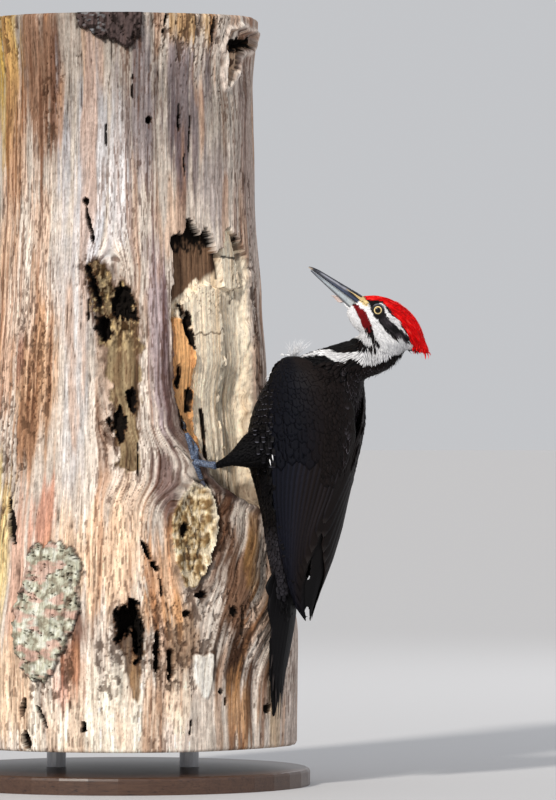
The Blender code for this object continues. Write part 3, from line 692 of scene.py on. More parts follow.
class Trunk:
    """The trunk's surface at some places: its radius in mm and its colours."""

    def __init__(self, azimuth, level):
        self.azimuth, self.level = azimuth, level
        self.places = around(MEAN_RADIUS, azimuth, level)
        self.slanted = self.places @ SLANT
        self.ragged = noise(self.places, (6, 6, 12), 3)
        self.crumb = noise(self.places, (3.4, 3.4, 5), 3, 3)
        for name, (outline, lumps, crumbs) in OUTLINES.items():
            frayed = self.ragged * lumps + self.crumb * crumbs
            setattr(self, name, depth_inside(outline, azimuth, level) + frayed)
        self.fibres = fibre_places(azimuth, level, 1 - smooth(self.knot / 2))
        self.streak = 0.6 * noise(self.fibres, (2.2, 2.2, 90), 3, 12)
        self.streak = self.streak + 0.5 * noise(self.fibres, (6, 6, 190), 2, 13)
        self.band = noise(self.fibres, (9, 9, 150), 3, 1)
        self.find_hollow()
        self.find_radius()

    def find_hollow(self):
        degrees = turned(self.azimuth, 0)
        arc = level_value(TRUNK_PROFILE, self.level) * math.radians(1)
        self.from_left = (degrees - level_value(HOLLOW_LEFT, self.level)) * arc + self.ragged * 2
        self.from_right = (HOLLOW_RIGHT - degrees) * arc + self.ragged * 2
        self.below_top = level_value(HOLLOW_TOP, degrees) - self.level + self.ragged * 3 + self.crumb * 2
        self.hollow = smooth(self.from_left / 3.2) * smooth(self.from_right / 15 + 0.35)
        self.hollow = self.hollow * smooth(self.below_top / 3)

    def find_radius(self):
        azimuth, level, hollow, crumb = self.azimuth, self.level, self.hollow, self.crumb
        radius = level_value(TRUNK_PROFILE, level)
        for ridges, depth, phase in FLUTES:
            radius += depth * np.sin(ridges * azimuth + phase + level * 0.004)
        radius += 1.1 * self.band * (1 - 0.85 * hollow) + 0.3 * self.streak
        radius -= level_value(HOLLOW_DEPTH, np.clip(level, 190, 400)) * hollow
        raised = 7 * smooth(self.board / 2) + 5 * smooth(self.heap / 4) * (1 - smooth((self.board + 3) / 2))
        radius += hollow * (raised + 7 * smooth(self.strip / 3))
        rough_top = smooth((452 - level) / -30)
        radius += hollow * crumb * (0.2 + 1.5 * rough_top * smooth(self.heap / 3))
        ribs = noise(self.fibres, (2.2, 2.2, 220), 2, 5)
        radius += 0.6 * hollow * ribs * (1 - smooth(self.heap / 4) * rough_top)
        radius += 4.5 * ridge(self.from_left, -5, 6) * smooth((400 - level) / 60) * smooth((level - 150) / 50)
        for mark in TRUNK_MARKS:
            radius -= mark[4] * smooth(1.35 - spot(azimuth, level, mark, self.ragged * 0.12))
        radius -= smooth(self.gouge / 3) * (2.2 - 2.4 * crumb * smooth((level - 400) / 40))
        in_knot = smooth(self.knot / 2)
        radius += 3.2 * in_knot + 1.6 * ridge(self.knot, 1, 3) + 1.5 * in_knot * crumb
        radius -= 5 * ridge(self.knot, -2.5, 2) * smooth(turned(azimuth, -62) / 6)
        radius -= 3.0 * smooth(self.hole / 3)
        self.cover = smooth(self.bark / 1.6) * 5.5 + smooth(self.lichen / 1.6) * 4.5
        scales = noise(self.slanted, (9, 4, 5), 3, 6)
        steps = np.abs(noise(self.slanted, (15, 8, 9), 3, 7))
        self.flaked = smooth((0.045 - steps) / 0.035) * smooth(self.cover / 3)
        radius += self.cover + smooth(self.cover / 4) * (0.7 * crumb + 0.9 * scales) - 2.2 * self.flaked
        radius += 3.5 * ridge(self.fold, -1.5, 2.5) * (level > 640) - 5 * smooth(self.fold / 2)
        radius += 1.5 * smooth(self.chip / 1.5)
        # How dark each hole and pocket is painted inside: painted shade in the recess, with dark rot
        self.hole_shade_and_rot = np.zeros(len(level))
        for depth, wander, corners in CUT_HOLES:
            cut = depth_inside(corners, azimuth, level, 12) + (self.ragged + 0.7 * crumb) * wander
            share = smooth(cut / 2.4)
            radius -= depth * share
            self.hole_shade_and_rot = np.maximum(self.hole_shade_and_rot, smooth((cut + 1.2) / 1.6) * (0.55 + 0.45 * share))
        for pocket in POCKETS:
            rough = (self.ragged * 0.5 + crumb * 0.3) * min(1.0, 4 / pocket[2])
            near = smooth((1.1 - spot(azimuth, level, pocket, rough, pocket[5])) / 0.35)
            radius -= pocket[4] * near
            self.hole_shade_and_rot = np.maximum(self.hole_shade_and_rot, near)
        riddled = np.zeros(len(level))
        for zone in RIDDLED:
            riddled = np.maximum(riddled, zone[4] * smooth(1.35 - spot(azimuth, level, zone, self.band * 0.3)))
        pits = noise(self.fibres, (1.9, 1.9, 5.5), 3, 31)
        holes = noise(self.places, (4.2, 4.2, 8), 3, 32)
        self.pits = smooth((pits - 0.66 + 0.36 * riddled) / 0.12) * 0.8
        self.pits = np.maximum(self.pits, smooth((holes - 0.62 + 0.4 * riddled) / 0.14)) * smooth(riddled * 4)
        self.pits *= 1 - smooth((self.chip + 0.8) / 1.2)
        radius += 0.5 * crumb * smooth(riddled * 3 - 1.4) - 1.3 * self.pits
        crack = smooth((0.03 - np.abs(noise(self.fibres, (5, 5, 170), 2, 8))) / 0.03)
        crack *= smooth(noise(self.fibres, (26, 26, 70), 2, 9) * 2.4 - 0.2)
        self.crack = crack * (1 - smooth(self.cover / 2)) * (1 - in_knot)
        self.riddled = riddled
        self.radius = radius - 1.3 * self.crack

    def colours(self):
        azimuth, level, streak, crumb = self.azimuth, self.level, self.streak, self.crumb
        count = len(level)
        fine = noise(self.fibres, (1.3, 1.3, 26), 3, 20)
        feather = streak * 0.45 + self.band * 0.4
        colours = flat(count, (212, 199, 186))
        for *mark, strength, shade in WASHES:
            near = 1.25 - spot(azimuth, level, mark, self.ragged * 0.1)
            colours = layered(colours, (strength * smooth((near + feather) / 0.7), shade))
        corner = smooth(turned(azimuth, -78) / 12) * smooth((level - 660) / 20)
        colours = colours * (1 - 0.4 * smooth((level - 500) / 150) * (1 - 0.7 * corner))[:, None]
        back = smooth((np.abs(turned(azimuth, 70)) - 110) / -30)
        tan = smooth(noise(self.fibres, (14, 14, 110), 3, 14) * 2.2 - 0.35)
        colours = layered(colours, (back * 0.8, (180, 164, 154)), (0.45 * tan, (190, 142, 104)))
        lively = 0.35 + 0.65 * smooth(noise(self.fibres, (34, 34, 150), 2, 33) * 2.2 + 0.5)
        colours = layered(colours, (lively * 0.8 * smooth((streak - 0.1) / 0.4), colours * (0.52, 0.4, 0.34)))
        colours = layered(colours, (lively * 0.5 * smooth((-streak - 0.1) / 0.35), colours * 1.35 + 0.02))
        dash = smooth((noise(self.fibres, (1.1, 1.1, 11), 2, 15) - 0.34 + 0.25 * self.riddled) / 0.16)
        colours = layered(colours, (0.65 * lively * dash, (84, 54, 38)))
        fleck = smooth((-noise(self.fibres, (1.2, 1.2, 14), 2, 16) - 0.3) / 0.2)
        colours = layered(colours, (0.3 * fleck, colours * 1.6 + 0.02))
        colours = self.hollow_colours(colours, fine, streak)
        lip = ridge(self.from_left, -6, 8) * smooth((420 - level) / 60) * smooth((level - 120) / 60)
        crumbly = smooth((level - 395) / 30)
        moss = layered(
            flat(count, (132, 112, 84)), (smooth(streak * 2.4 + 0.2), (76, 58, 42)),
            (0.8 * smooth(-streak * 2 - 0.2), (176, 156, 122)), (0.6 * smooth(fine * 2.2), (92, 66, 46)),
            (smooth(crumb * 2.4 - 0.1) * crumbly, (64, 46, 26)),
            (smooth(-crumb * 2.6 - 0.75) * crumbly, (206, 182, 136)),
        )
        rotten = layered(flat(count, (150, 118, 84)), (smooth(streak * 2.4 + 0.3), (70, 48, 32)))
        knot_rim = ridge(self.knot, 2, 3) * smooth((turned(azimuth, -64) + (level - 236) / 8) / 5)
        knot = layered(
            flat(count, (196, 172, 130)), (smooth(crumb * 2), (130, 102, 66)),
            (smooth(-crumb * 2.4 - 0.1), (228, 212, 182)), (0.8 * knot_rim, (236, 226, 204)),
        )
        knot_shade = ridge(self.knot, -2, 2.2) * (0.35 + 0.6 * smooth(turned(azimuth, -62) / 5))
        chip = layered(flat(count, (234, 230, 222)), (0.3 * smooth(streak * 2), (214, 196, 170)))
        chip_edge = ridge(self.chip, -1.2, 1.1) * smooth((level - 96) / 20)
        folded = layered(flat(count, (176, 150, 126)), (smooth(crumb * 2), (78, 60, 48)))
        colours = layered(
            colours, (0.85 * lip * smooth(0.9 + streak), (74, 54, 50)),
            (smooth(self.gouge / 2.4), moss), (0.7 * ridge(self.gouge, 0, 1.6) * (level > 380), DARK_WOOD),
            (0.9 * smooth(self.hole / 2.4), rotten),
            (smooth(self.knot / 1.5), knot), (knot_shade, (36, 24, 18)),
            (smooth(self.chip / 1.2), chip), (0.7 * chip_edge, (70, 48, 34)),
            (smooth(self.cover / 2.5), self.plate_colours()),
            (0.85 * ridge(np.maximum(self.bark, self.lichen), 0, 1.5), (40, 27, 22)),
            (smooth(self.fold / 2) * (level < 690), folded),
            (0.75 * ridge(self.fold, -3, 2.5) * (level > 640), (232, 218, 206)),
            # Pits, then holes and pockets in dark wood going to black: painted shade in the recesses, with dark
            # rot
            (0.75 * self.pits, (72, 48, 33)), (0.95 * smooth(self.hole_shade_and_rot / 0.3), DARK_WOOD),
            (smooth((self.hole_shade_and_rot - 0.25 + 0.12 * crumb) / 0.25), BLACK_SHADE_AND_ROT), (0.8 * self.crack, (58, 38, 27)),
        )
        return colours * (1 + 0.3 * fine + 0.16 * noise(self.places, (1.6, 1.6, 2.2), 2, 21))[:, None]

    def hollow_colours(self, colours, fine, streak):
        level, crumb, board, count = self.level, self.crumb, self.board, len(self.level)
        grained = smooth(streak * 2)
        orange = layered(flat(count, (228, 174, 118)), (0.6 * smooth(streak * 2.4), (176, 116, 72)))
        # Painted shadow high in the hollow under its top edge, over brown crumbly wood: dark is where, shade its
        # colour
        shadow_from = level_value(HOLLOW_SHADOW_FOOT, turned(self.azimuth, 0))
        dark = smooth(-self.heap / 3) * smooth((level - shadow_from) / 8) * (1 - smooth((board + 1) / 1.5))
        shade = layered(flat(count, (112, 86, 66)), (grained, (70, 50, 38)))
        seams = np.abs(noise(self.places, (9, 9, 7), 2, 17))
        crumbled = smooth(self.heap / 3) * smooth((level - 432) / 10)
        split = np.abs(level - 420 - 5 * noise(self.places, (9, 9, 9), 3, 18))
        broken = np.abs(level - 491 - 2 * noise(self.places, (7, 7, 7), 2, 24)) + 9 * smooth(2 - board)
        seam = np.abs(turned(self.azimuth, -36.5) + (level - 400) / 60) * 2.4 + 9 * smooth((level - 455) / 10)
        grey = layered(flat(count, (152, 134, 114)), (grained, (104, 84, 68)))
        brown = layered(flat(count, (120, 88, 52)), (grained, (70, 48, 30)))
        inner = layered(
            flat(count, HEARTWOOD),
            (0.5 * grained, (222, 190, 148)),
            (0.35 * smooth(fine * 2.4), (186, 152, 112)),
            # The painted shadow in the hollow, turning black at its top as painted deep shadow
            (smooth(self.strip / 2), orange), (dark, shade),
            (dark * smooth((level - 496 + 8 * crumb) / 8), BLACK_SHADE_AND_ROT),
            (0.75 * smooth((0.045 - seams) / 0.03) * crumbled, (112, 84, 54)),
            (0.85 * smooth((1.7 - split) / 1.2) * smooth(self.heap / 4), (78, 54, 34)),
            (0.9 * smooth((1.6 - broken) / 0.8), BLACK_SHADE_AND_ROT),
            (0.6 * smooth((1.5 - seam) / 0.9) * smooth((level - 300) / 60), (128, 98, 68)),
            (0.9 * ridge(board, -1.2, 1.2) * (level > 470), BLACK_SHADE_AND_ROT),
            (0.9 * smooth((296 + 12 * self.ragged - level) / 26), grey),
            (0.8 * smooth((252 + 12 * self.ragged - level) / 22), brown),
        )
        return layered(colours, (smooth(self.hollow / 0.4) * smooth((level - 205) / 40), inner))

    def plate_colours(self):
        level, crumb, count = self.level, self.crumb, len(self.level)
        rosy = noise(self.slanted, (12, 6, 7), 3, 18) * 2.4 + (level < 125) * 0.5 - 0.5
        lichen = layered(
            flat(count, (188, 188, 168)), (0.8 * smooth(crumb * 2.4 - 0.2), (132, 122, 104)),
            (smooth(-crumb * 2.4 - 0.2), (212, 212, 198)), (0.75 * smooth(rosy), (198, 158, 144)),
        )
        ashen = smooth(noise(self.places, (5, 5, 2.2), 2, 19) * 3 - 0.5)
        ashen = ashen * smooth(turned(self.azimuth, -94) / -4)
        bark = layered(flat(count, (86, 72, 70)), (smooth(crumb * 2), (40, 31, 29)), (ashen, (126, 126, 128)))
        return layered(np.where((level > 400)[:, None], bark, lichen), (0.9 * self.flaked, (42, 30, 25)))


def cut_wood_colours(places):
    """The sawn ends: rings of growth, a darker heart and checks."""
    radius, turn = np.hypot(places[:, 0], places[:, 1]), np.arctan2(places[:, 1], places[:, 0])
    rings = np.sin((radius + 5 * noise(places, (60, 60, 60), 2, 21)) * 2.1)
    checks = np.abs(np.sin(turn * 4.5 + noise(places, (30, 30, 30), 2, 22))) * radius
    return layered(
        flat(len(places), (214, 186, 146)), (0.5 * smooth(rings), (166, 126, 84)),
        (0.5 * smooth((60 - radius) / 40), (140, 98, 66)), (0.85 * smooth((1.6 - checks) / 1.2), (60, 40, 28)),
    )


def trunk_part(name, first, last, columns, rise, wood):
    """One closed wedge of the trunk, from the first to the last azimuth in degrees."""
    levels = np.linspace(TRUNK_LOW, TRUNK_HIGH, 225 * (3 // rise) + 1)
    shares = [0.0, 0.1, 0.3, 0.55, 0.8, 0.95]
    rows = len(levels) + 2 * len(shares)
    bm = bmesh.new()
    bmesh.ops.create_grid(bm, x_segments=columns, y_segments=rows - 1, size=1)
    grid = np.array([v.co for v in bm.verts])
    column = np.rint((grid[:, 0] + 1) / 2 * columns)
    row = np.rint((grid[:, 1] + 1) / 2 * (rows - 1)).astype(int)
    azimuth = np.radians(first + (last - first) * column / columns)
    level = np.concatenate([[levels[0]] * len(shares), levels, [levels[-1]] * len(shares)])[row]
    reach = np.concatenate([shares, np.ones(len(levels)), shares[::-1]])[row]
    trunk = Trunk(azimuth, level)
    rounded = np.maximum(0, 1 - (TRUNK_HIGH - level) / 3) + np.maximum(0, 1 - (level - TRUNK_LOW) / 3)
    radius = (trunk.radius - 1.8 * rounded**2) * reach
    rough = 0.35 * noise(trunk.places * reach[:, None], (9, 9, 9), 2, 23)
    saw = np.where((reach < 1) & (level > 300), rough, 0)
    points = around(radius, azimuth, level + saw)
    colours = np.where((reach < 1)[:, None], cut_wood_colours(points), trunk.colours())
    number = bm.verts.layers.int.new("number")
    for i, (vertex, point) in enumerate(zip(bm.verts, points * MM)):
        vertex.co, vertex[number] = point, i
    bmesh.ops.remove_doubles(bm, verts=[v for v in bm.verts if v.co.xy.length < 1e-6], dist=2 * MM)
    low_pole, high_pole = sorted((v for v in bm.verts if v.co.xy.length < 1e-6), key=lambda v: v.co.z)
    axis = bm.edges.new((low_pole, high_pole))
    for side in (first, last):
        turn = np.array([math.cos(math.radians(side)), math.sin(math.radians(side))])
        rim = [e for e in bm.edges if e.is_boundary and e != axis]
        edge = [e for e in rim if all(on_side(v.co, turn) for v in e.verts)]
        bmesh.ops.contextual_create(bm, geom=edge + [axis])
    bmesh.ops.recalc_face_normals(bm, faces=bm.faces)
    bmesh.ops.triangulate(bm, faces=[f for f in bm.faces if len(f.verts) > 4])
    mesh = mesh_from(bm, name, 50)
    numbers = np.empty(len(mesh.vertices), int)
    mesh.attributes["number"].data.foreach_get("value", numbers)
    mesh.attributes.remove(mesh.attributes["number"])
    tint(mesh, "wood", colours[numbers])
    along = mesh.attributes.new("fibres", "FLOAT_VECTOR", "POINT")
    along.data.foreach_set("vector", (trunk.fibres * MM)[numbers].ravel())
    return piece(name, mesh, wood, ["perch_trunk"])


def on_side(point, turn):
    """Whether a point is on the trunk's axis or straight out from it that way."""
    reach = point.xy.length
    return reach < 1e-6 or point.x * turn[0] + point.y * turn[1] > reach * (1 - 1e-9) - 1e-7


def make_trunk(wood):
    trunk_part("trunk_left", -156, -104, 114, 1, wood)
    trunk_part("trunk_middle", -104, -50, 118, 1, wood)
    trunk_part("trunk_right", -50, 6, 122, 1, wood)
    trunk_part("trunk_back", 6, 204, 120, 3, wood)


# ---- The stand -------------------------------------------

def make_stand(board, metal):
    for name, material in (("base", board), ("rod_left", metal), ("rod_right", metal)):
        materials = NODES["stand_" + name].data.materials
        materials.clear()
        materials.append(material)


# ---- Room, camera and light ------------------------------

def make_floor():
    bm = bmesh.new()
    bmesh.ops.create_circle(bm, cap_ends=True, segments=96, radius=40)
    mesh = mesh_from(bm, "floor")
    material, _, shader = finish("studio_floor", 0.9)
    shader.inputs["Base Color"].default_value = (0.56, 0.56, 0.57, 1)
    mesh.materials.append(material)
    floor = bpy.data.objects.new("floor", mesh)
    bpy.context.scene.collection.objects.link(floor)


def make_camera():
    data = bpy.data.cameras.new("camera")
    data.lens, data.sensor_width = 289, 36
    data.clip_end = 100
    camera = bpy.data.objects.new("camera", data)
    camera.location = (0.145, -6.0, 0.359)
    camera.rotation_euler = (math.radians(90), 0, 0)
    bpy.context.scene.collection.objects.link(camera)
    bpy.context.scene.camera = camera


def make_lights():
    target = Vector((0.1, -0.1, 0.36))
    for name, kind, place, size, power, shade in (
        ("key", "SUN", (-1.7, -3.6, 2.7), 5, 2.7, (1.0, 0.95, 0.88)),
        ("fill", "AREA", (3.0, -2.6, 1.6), 2.4, 9, (0.86, 0.92, 1.0)),
        ("rim", "AREA", (1.6, 2.6, 1.6), 1.4, 16, (0.95, 0.97, 1.0)),
    ):
        data = bpy.data.lights.new(name, kind)
        data.energy, data.color = power, shade
        if kind == "SUN":
            data.angle = math.radians(size)
        else:
            data.shape, data.size = "DISK", size
        light = bpy.data.objects.new(name, data)
        light.location = place
        light.rotation_euler = (target - Vector(place)).to_track_quat("-Z", "Y").to_euler()
        bpy.context.scene.collection.objects.link(light)


def make_world():
    """A pale, even room round the stand."""
    world = bpy.data.worlds.new("studio")
    world.use_nodes = True
    room = world.node_tree.nodes["Background"]
    room.inputs["Color"].default_value = (0.95, 0.965, 1.0, 1)
    room.inputs["Strength"].default_value = 0.58
    bpy.context.scene.world = world
    bpy.context.scene.view_settings.view_transform = "Standard"


# ---- Markings of the plumage -----------------------------

# The blue black is black with a painted blue sheen, for the wings' front part
BLACK, BLUE_SHEEN_BLACK, BROWN_BLACK = paint(9, 8, 10), paint(10, 12, 21), paint(23, 17, 16)
WHITE, RED, DARK_RED, STRIPE_GREY = paint(247, 247, 249), paint(242, 3, 7), paint(118, 4, 12), paint(92, 84, 92)
PALE_FRINGE, FLANK_PALE = paint(118, 112, 120), paint(112, 111, 122)
FLANK_GREY, BUFF = paint(60, 58, 64), paint(230, 206, 150)

# On the head: forward, up in mm
CROWN_EDGE = [
    (-60, -14), (-34, -9), (-31.7, -6.2), (-29.2, -1.6), (-22.3, 1.9), (-16.1, 5.2), (-7.7, 7.6), (-0.4, 8.6),
    (3.7, 10), (7.1, 11.9), (13.8, 12.4), (19.3, 10.6), (25.9, 5.9), (36, 5.2),
]
EYEBROW_TOP = [
    (-20, 2.8), (-14.6, 4.6), (-8.2, 7), (-2.2, 7.5), (1.5, 7.2), (5.3, 8.8), (9.9, 11), (14.8, 10.4),
]
EYEBROW_LOW = [(-20, 1.6), (-11, 2.6), (-5.3, 2.5), (-0.1, 2.4), (3.3, 4.2), (6.6, 6.6), (8.7, 8.6), (14, 9.6)]
STRIPE_LOW = [
    (-30.4, 2.4), (-27.6, -1.8), (-24.6, -4.6), (-17.2, -3.4), (-14, -8.1), (-8.8, -7.3), (-1.1, -6.1),
    (5.9, -4.3), (11.6, -2.8),
    (18, 0.5), (24.4, 3.9),
]
MALAR = [
    (35, -5.9), (30.5, -3.4), (24.9, -3.3), (20.4, -4.0), (16.8, -6.4), (11.8, -9), (6.0, -13.4),
    (6.7, -16.8),
    (10.5, -17.6), (16.2, -16), (21.1, -12.6), (26.2, -9.4),
]
THROAT = [
    (46, -3), (35, -5.9), (26.2, -9.4), (16.2, -16), (10.5, -17.6), (7.7, -17.3), (4.8, -19.2), (1.1, -21.6),
    (-1.0, -26.1), (2.0, -27.8), (7.6, -26.2), (12.2, -27), (18, -30), (46, -20),
]
JUNCTION = [
    (8.4, -17.2), (6.0, -13.6), (1.8, -17.0), (-3.8, -17.5), (-7.6, -21.1), (-6.4, -25.9), (0.0, -29.8),
    (8, -35), (12, -30), (7.6, -26.2), (2.0, -27.8), (-1.0, -26.1), (1.1, -21.6), (4.8, -19.2),
]
CHEEK = [
    (24.4, 3.9), (18, 0.5), (11.6, -2.8), (5.9, -4.3), (-1.1, -6.1), (-8.8, -7.3), (-14, -8.1), (-17, -3.2),
    (-24.6, -4.4), (-29.6, 2.4), (-31.5, -3), (-31.6, -6.8), (-29.2, -9.8), (-25.9, -14.6), (-22.2, -20.0),
    (-18.4, -26.6), (-13.8, -32.6), (-12.2, -39.5), (-5, -41.5), (5, -42.5), (8.0, -41.1), (6.7, -35.0),
    (0.0, -29.8), (1.8, -17), (11.8, -9), (16.8, -6.4), (20.4, -4.0), (24.9, -3.3), (30.5, -3.4), (36, -4),
    (34, 1),
]
# The buff feathers over the nostril, and the dark line between them and the crown
NOSTRIL = [
    (48, 2.8), (41.2, 6.2), (32.4, 6.2), (26.6, 4.7), (21.6, 1.2), (24, -0.4), (29.8, 0.2), (36, 0.3),
    (42.4, 1.4),
]
FOREHEAD = [(38.6, 5.8), (32.7, 6.4), (24.3, 6.2), (20.4, 7), (20.8, 2), (24.6, 2.5), (32.1, 4)]
# Down the neck's side: out, up in mm
NECK_STRIPE = [
    (206, 398), (208, 404), (219, 405), (226.1, 405.4), (229.4, 405.4), (240.2, 402.5), (253.5, 403.9),
    (260.9, 407),
    (266, 404), (262, 392), (256.8, 398.2), (251.8, 398.2), (247.7, 394.9), (243.5, 390.5), (235.2, 395.4),
    (227.8, 399.2), (218, 399.5),
]


def between(rows, forward):
    levels, values = np.array(rows, float).T
    return np.interp(forward, levels, values)


def marking(points, wobble=0.7):
    """The plumage's colour at world points, which skin and coat share."""
    places = points / MM
    forward, up, side = head_place(points).T
    out, bird_side, height = bird_place(points).T
    forward = forward + wobble * noise(places, (2.5, 2.5, 2.5), 2, 30)
    up = up + wobble * noise(places, (2.5, 2.5, 2.5), 2, 31)
    warm = 0.7 * smooth((out - 190) / 60) * smooth((390 - height) / 40)
    low_flank = smooth((252 - height) / 20) * smooth((height - 170) / 20) * smooth((np.abs(bird_side) - 8) / 8)
    low_flank = 0.5 * low_flank * smooth((190 - out) / 10)
    colours = layered(flat(len(points), BLACK), (warm, BROWN_BLACK), (low_flank, FLANK_GREY))
    colours[inside(NECK_STRIPE, out, height) & (np.abs(bird_side) > 5)] = WHITE
    flecks = noise(places, (1.6, 1.6, 1.6), 2, 34)
    colours[inside(CHEEK, forward, up) & ((np.abs(side) > 7) | (up > -24) | (forward > -10))] = WHITE
    # The throat's white a little darker than the cheek's: painted shade under the bill
    colours[inside(THROAT, forward, up)] = WHITE * 0.86
    colours[inside(MALAR, forward, up)] = DARK_RED
    knotted = inside(JUNCTION, forward, up) & ((forward > 1) | (flecks < 0.25))
    colours[knotted & (np.abs(side) > 5)] = BLACK * 1.6
    over = (up > between(STRIPE_LOW, forward)) & (forward > -30.4) & (forward < 27)
    grey_flecks = noise(np.stack([forward / 5, up, side], axis=1), 1.8, 2, 35)
    rear = smooth((8 - forward) / 14) * smooth(grey_flecks + 0.5)
    colours[over] = layered(flat(len(points), BLACK * 1.8), (0.7 * rear, STRIPE_GREY))[over]
    brow = (up > between(EYEBROW_LOW, forward)) & (up < between(EYEBROW_TOP, forward))
    colours[brow & (forward > -20) & (forward < 14.5)] = WHITE
    crown = (up > between(CROWN_EDGE, forward)) & (forward < 36) & (forward > -60)
    colours[crown] = RED
    colours[crown & inside(FOREHEAD, forward, up)] = BLACK * 1.5
    colours[inside(NOSTRIL, forward, up)] = BUFF
    return colours


def is_red(colours):
    return (colours[:, 0] > 0.4) & (colours[:, 1] < 0.1)


def red_tones(points):
    """The crown's reds, in fine lighter and darker streaks, with painted highlights of pale red where the streaks
    are lightest.
    """
    streaks = noise(head_place(points), (12, 1.7, 1.7), 2, 36)
    tones = flat(len(points), RED) * (1 + 0.35 * streaks)[:, None]
    return layered(tones, (0.35 * smooth((streaks - 0.45) / 0.25), (255, 112, 96)))


# ---- The skin --------------------------------------------

FLESH = ["head", "crest", "neck", "torso", "thigh_left", "thigh_right"]
SHELLS = ["wing_left", "wing_right", "tail"]
COAT_DEPTH = {"head": 0.8, "crest": 1.2, "neck": 1.6, "torso": 2.2, "thigh_left": 1.5, "thigh_right": 1.5}
SHELL_DEPTH = 1.3
SKIN_VOXEL = 1.25 * MM


def node_at(points, names):
    """Which of the named CAD nodes each point is nearest to."""
    best, found = np.full(len(points), 1e9), np.zeros(len(points), int)
    for i, name in enumerate(names):
        tree = tree_of(NODES[name].data)
        away = np.array([tree.find_nearest(Vector(p))[3] for p in points])
        nearer = away < best
        best[nearer], found[nearer] = away[nearer], i
    return found


def make_skin(material):
    """One skin under all the feathers, as deep in the CAD flesh as the coat is thick there."""
    swell = 0.35 * MM
    mesh = remeshed(merged_copy(FLESH + SHELLS + ["eye_left", "eye_right"], swell), "skin", SKIN_VOXEL, 4)
    points, ups = points_of(mesh), normals_of(mesh)
    tree = tree_of(mesh)
    names = FLESH + SHELLS
    at = node_at(points, names)
    depth = np.array([COAT_DEPTH.get(name, SHELL_DEPTH) for name in names])[at] * MM + swell
    for i, (point, up) in enumerate(zip(points, ups)):
        through = tree.ray_cast(Vector(point - up * 0.1 * MM), Vector(-up), 0.02)[3]
        if through is not None:
            depth[i] = min(depth[i], 0.32 * through)
    points = points - ups * depth[:, None]
    mesh.vertices.foreach_set("co", points.ravel())
    mesh.update()
    tint(mesh, "marking", marking(points))
    piece("skin", mesh, material, FLESH)
    return mesh, tree_of(mesh), at, names


# ---- Feathers --------------------------------------------

PATCH = 0.0015  # half the side of a feather's patch on the unwrap

# How the coat lies: place on the head and direction there (forward, up, side)
HEAD_FLOW = [
    ((30, 5, 3), (-1, 0.5, 0.1)), ((20, 14, 5), (-1, 0.35, 0)), ((0, 20, 5), (-1, 0, 0)),
    ((-20, 16, 6), (-1, -0.15, 0)), ((-40, 4, 3), (-1, -0.1, 0)), ((30, -2, 7), (-1, -0.1, 0.3)),
    ((20, 6, 12), (-1, 0.5, 0.1)), ((12, 13, 14), (-1, 0.1, 0)), ((4, 6, 18), (-1, -0.1, 0)),
    ((12, -4, 16), (-1, -0.3, 0.1)), ((-8, 4, 18), (-1, -0.15, 0)), ((-8, -12, 17), (-1, -0.5, 0)),
    ((25, -14, 5), (-1, -0.3, 0)), ((8, -24, 5), (-0.9, -0.7, 0)), ((-8, -26, 12), (-0.8, -0.9, 0)),
    ((-25, -8, 14), (-1, -0.6, 0)), ((-30, -14, 5), (-0.9, -0.8, 0)),
]
# The same on the body, in out, side, up
BODY_FLOW = [
    ((252, 16, 402), (-1, 0, -0.35)), ((225, 6, 411), (-0.95, 0, -0.3)), ((262, 5, 378), (-0.45, 0, -1)),
    ((240, 18, 400), (-1, 0, -0.2)), ((218, 20, 402), (-1, 0, -0.1)), ((232, 20, 386), (-0.6, 0, -0.8)),
    ((190, 25, 395), (-0.55, 0.15, -0.85)), ((150, 20, 352), (-0.1, 0, -1)),
    ((155, 20, 300), (0, 0, -1)), ((165, 15, 230), (0.15, 0, -1)), ((245, 8, 362), (0.05, 0, -1)),
    ((244, 8, 300), (-0.05, 0, -1)), ((216, 8, 220), (-0.3, 0, -1)), ((200, 44, 340), (0, 0, -1)),
    ((190, 8, 180), (0, 0, -1)),
]


def flow_lines():
    """World places and directions of the coat's lie, on both sides."""
    places, ways = [], []
    for mirror in (1, -1):
        for place, way in HEAD_FLOW:
            places.append(head_point(np.multiply(place, (1, 1, mirror))))
            ways.append(np.multiply(way, (1, 1, mirror)) @ HEAD_AXES)
        for place, way in BODY_FLOW:
            places.append(bird_point(np.multiply(place, (1, mirror, 1))))
            ways.append(np.multiply(way, (1, mirror, 1)) @ BIRD_AXES)
    for name in ("left", "right"):
        low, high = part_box("thigh_" + name)
        foot_low, foot_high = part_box("shank_" + name)
        middle, foot = np.array((low + high) / 2), np.array((foot_low + foot_high) / 2)
        places += [middle, middle * 0.5 + foot * 0.5]
        ways += [foot - middle, foot - middle]
    return np.array(places), unit(np.array(ways))


FLOW_PLACES, FLOW_WAYS = flow_lines()


def lie(points, ups):
    """The direction in which the coat lies at skin points."""
    away = np.linalg.norm(points[:, None] - FLOW_PLACES[None], axis=2) / MM
    weight = 1 / (away**2 + 9) ** 1.5
    way = np.einsum("nk,kd->nd", weight, FLOW_WAYS)
    way = way - ups * np.einsum("nd,nd->n", way, ups)[:, None]
    return unit(way)


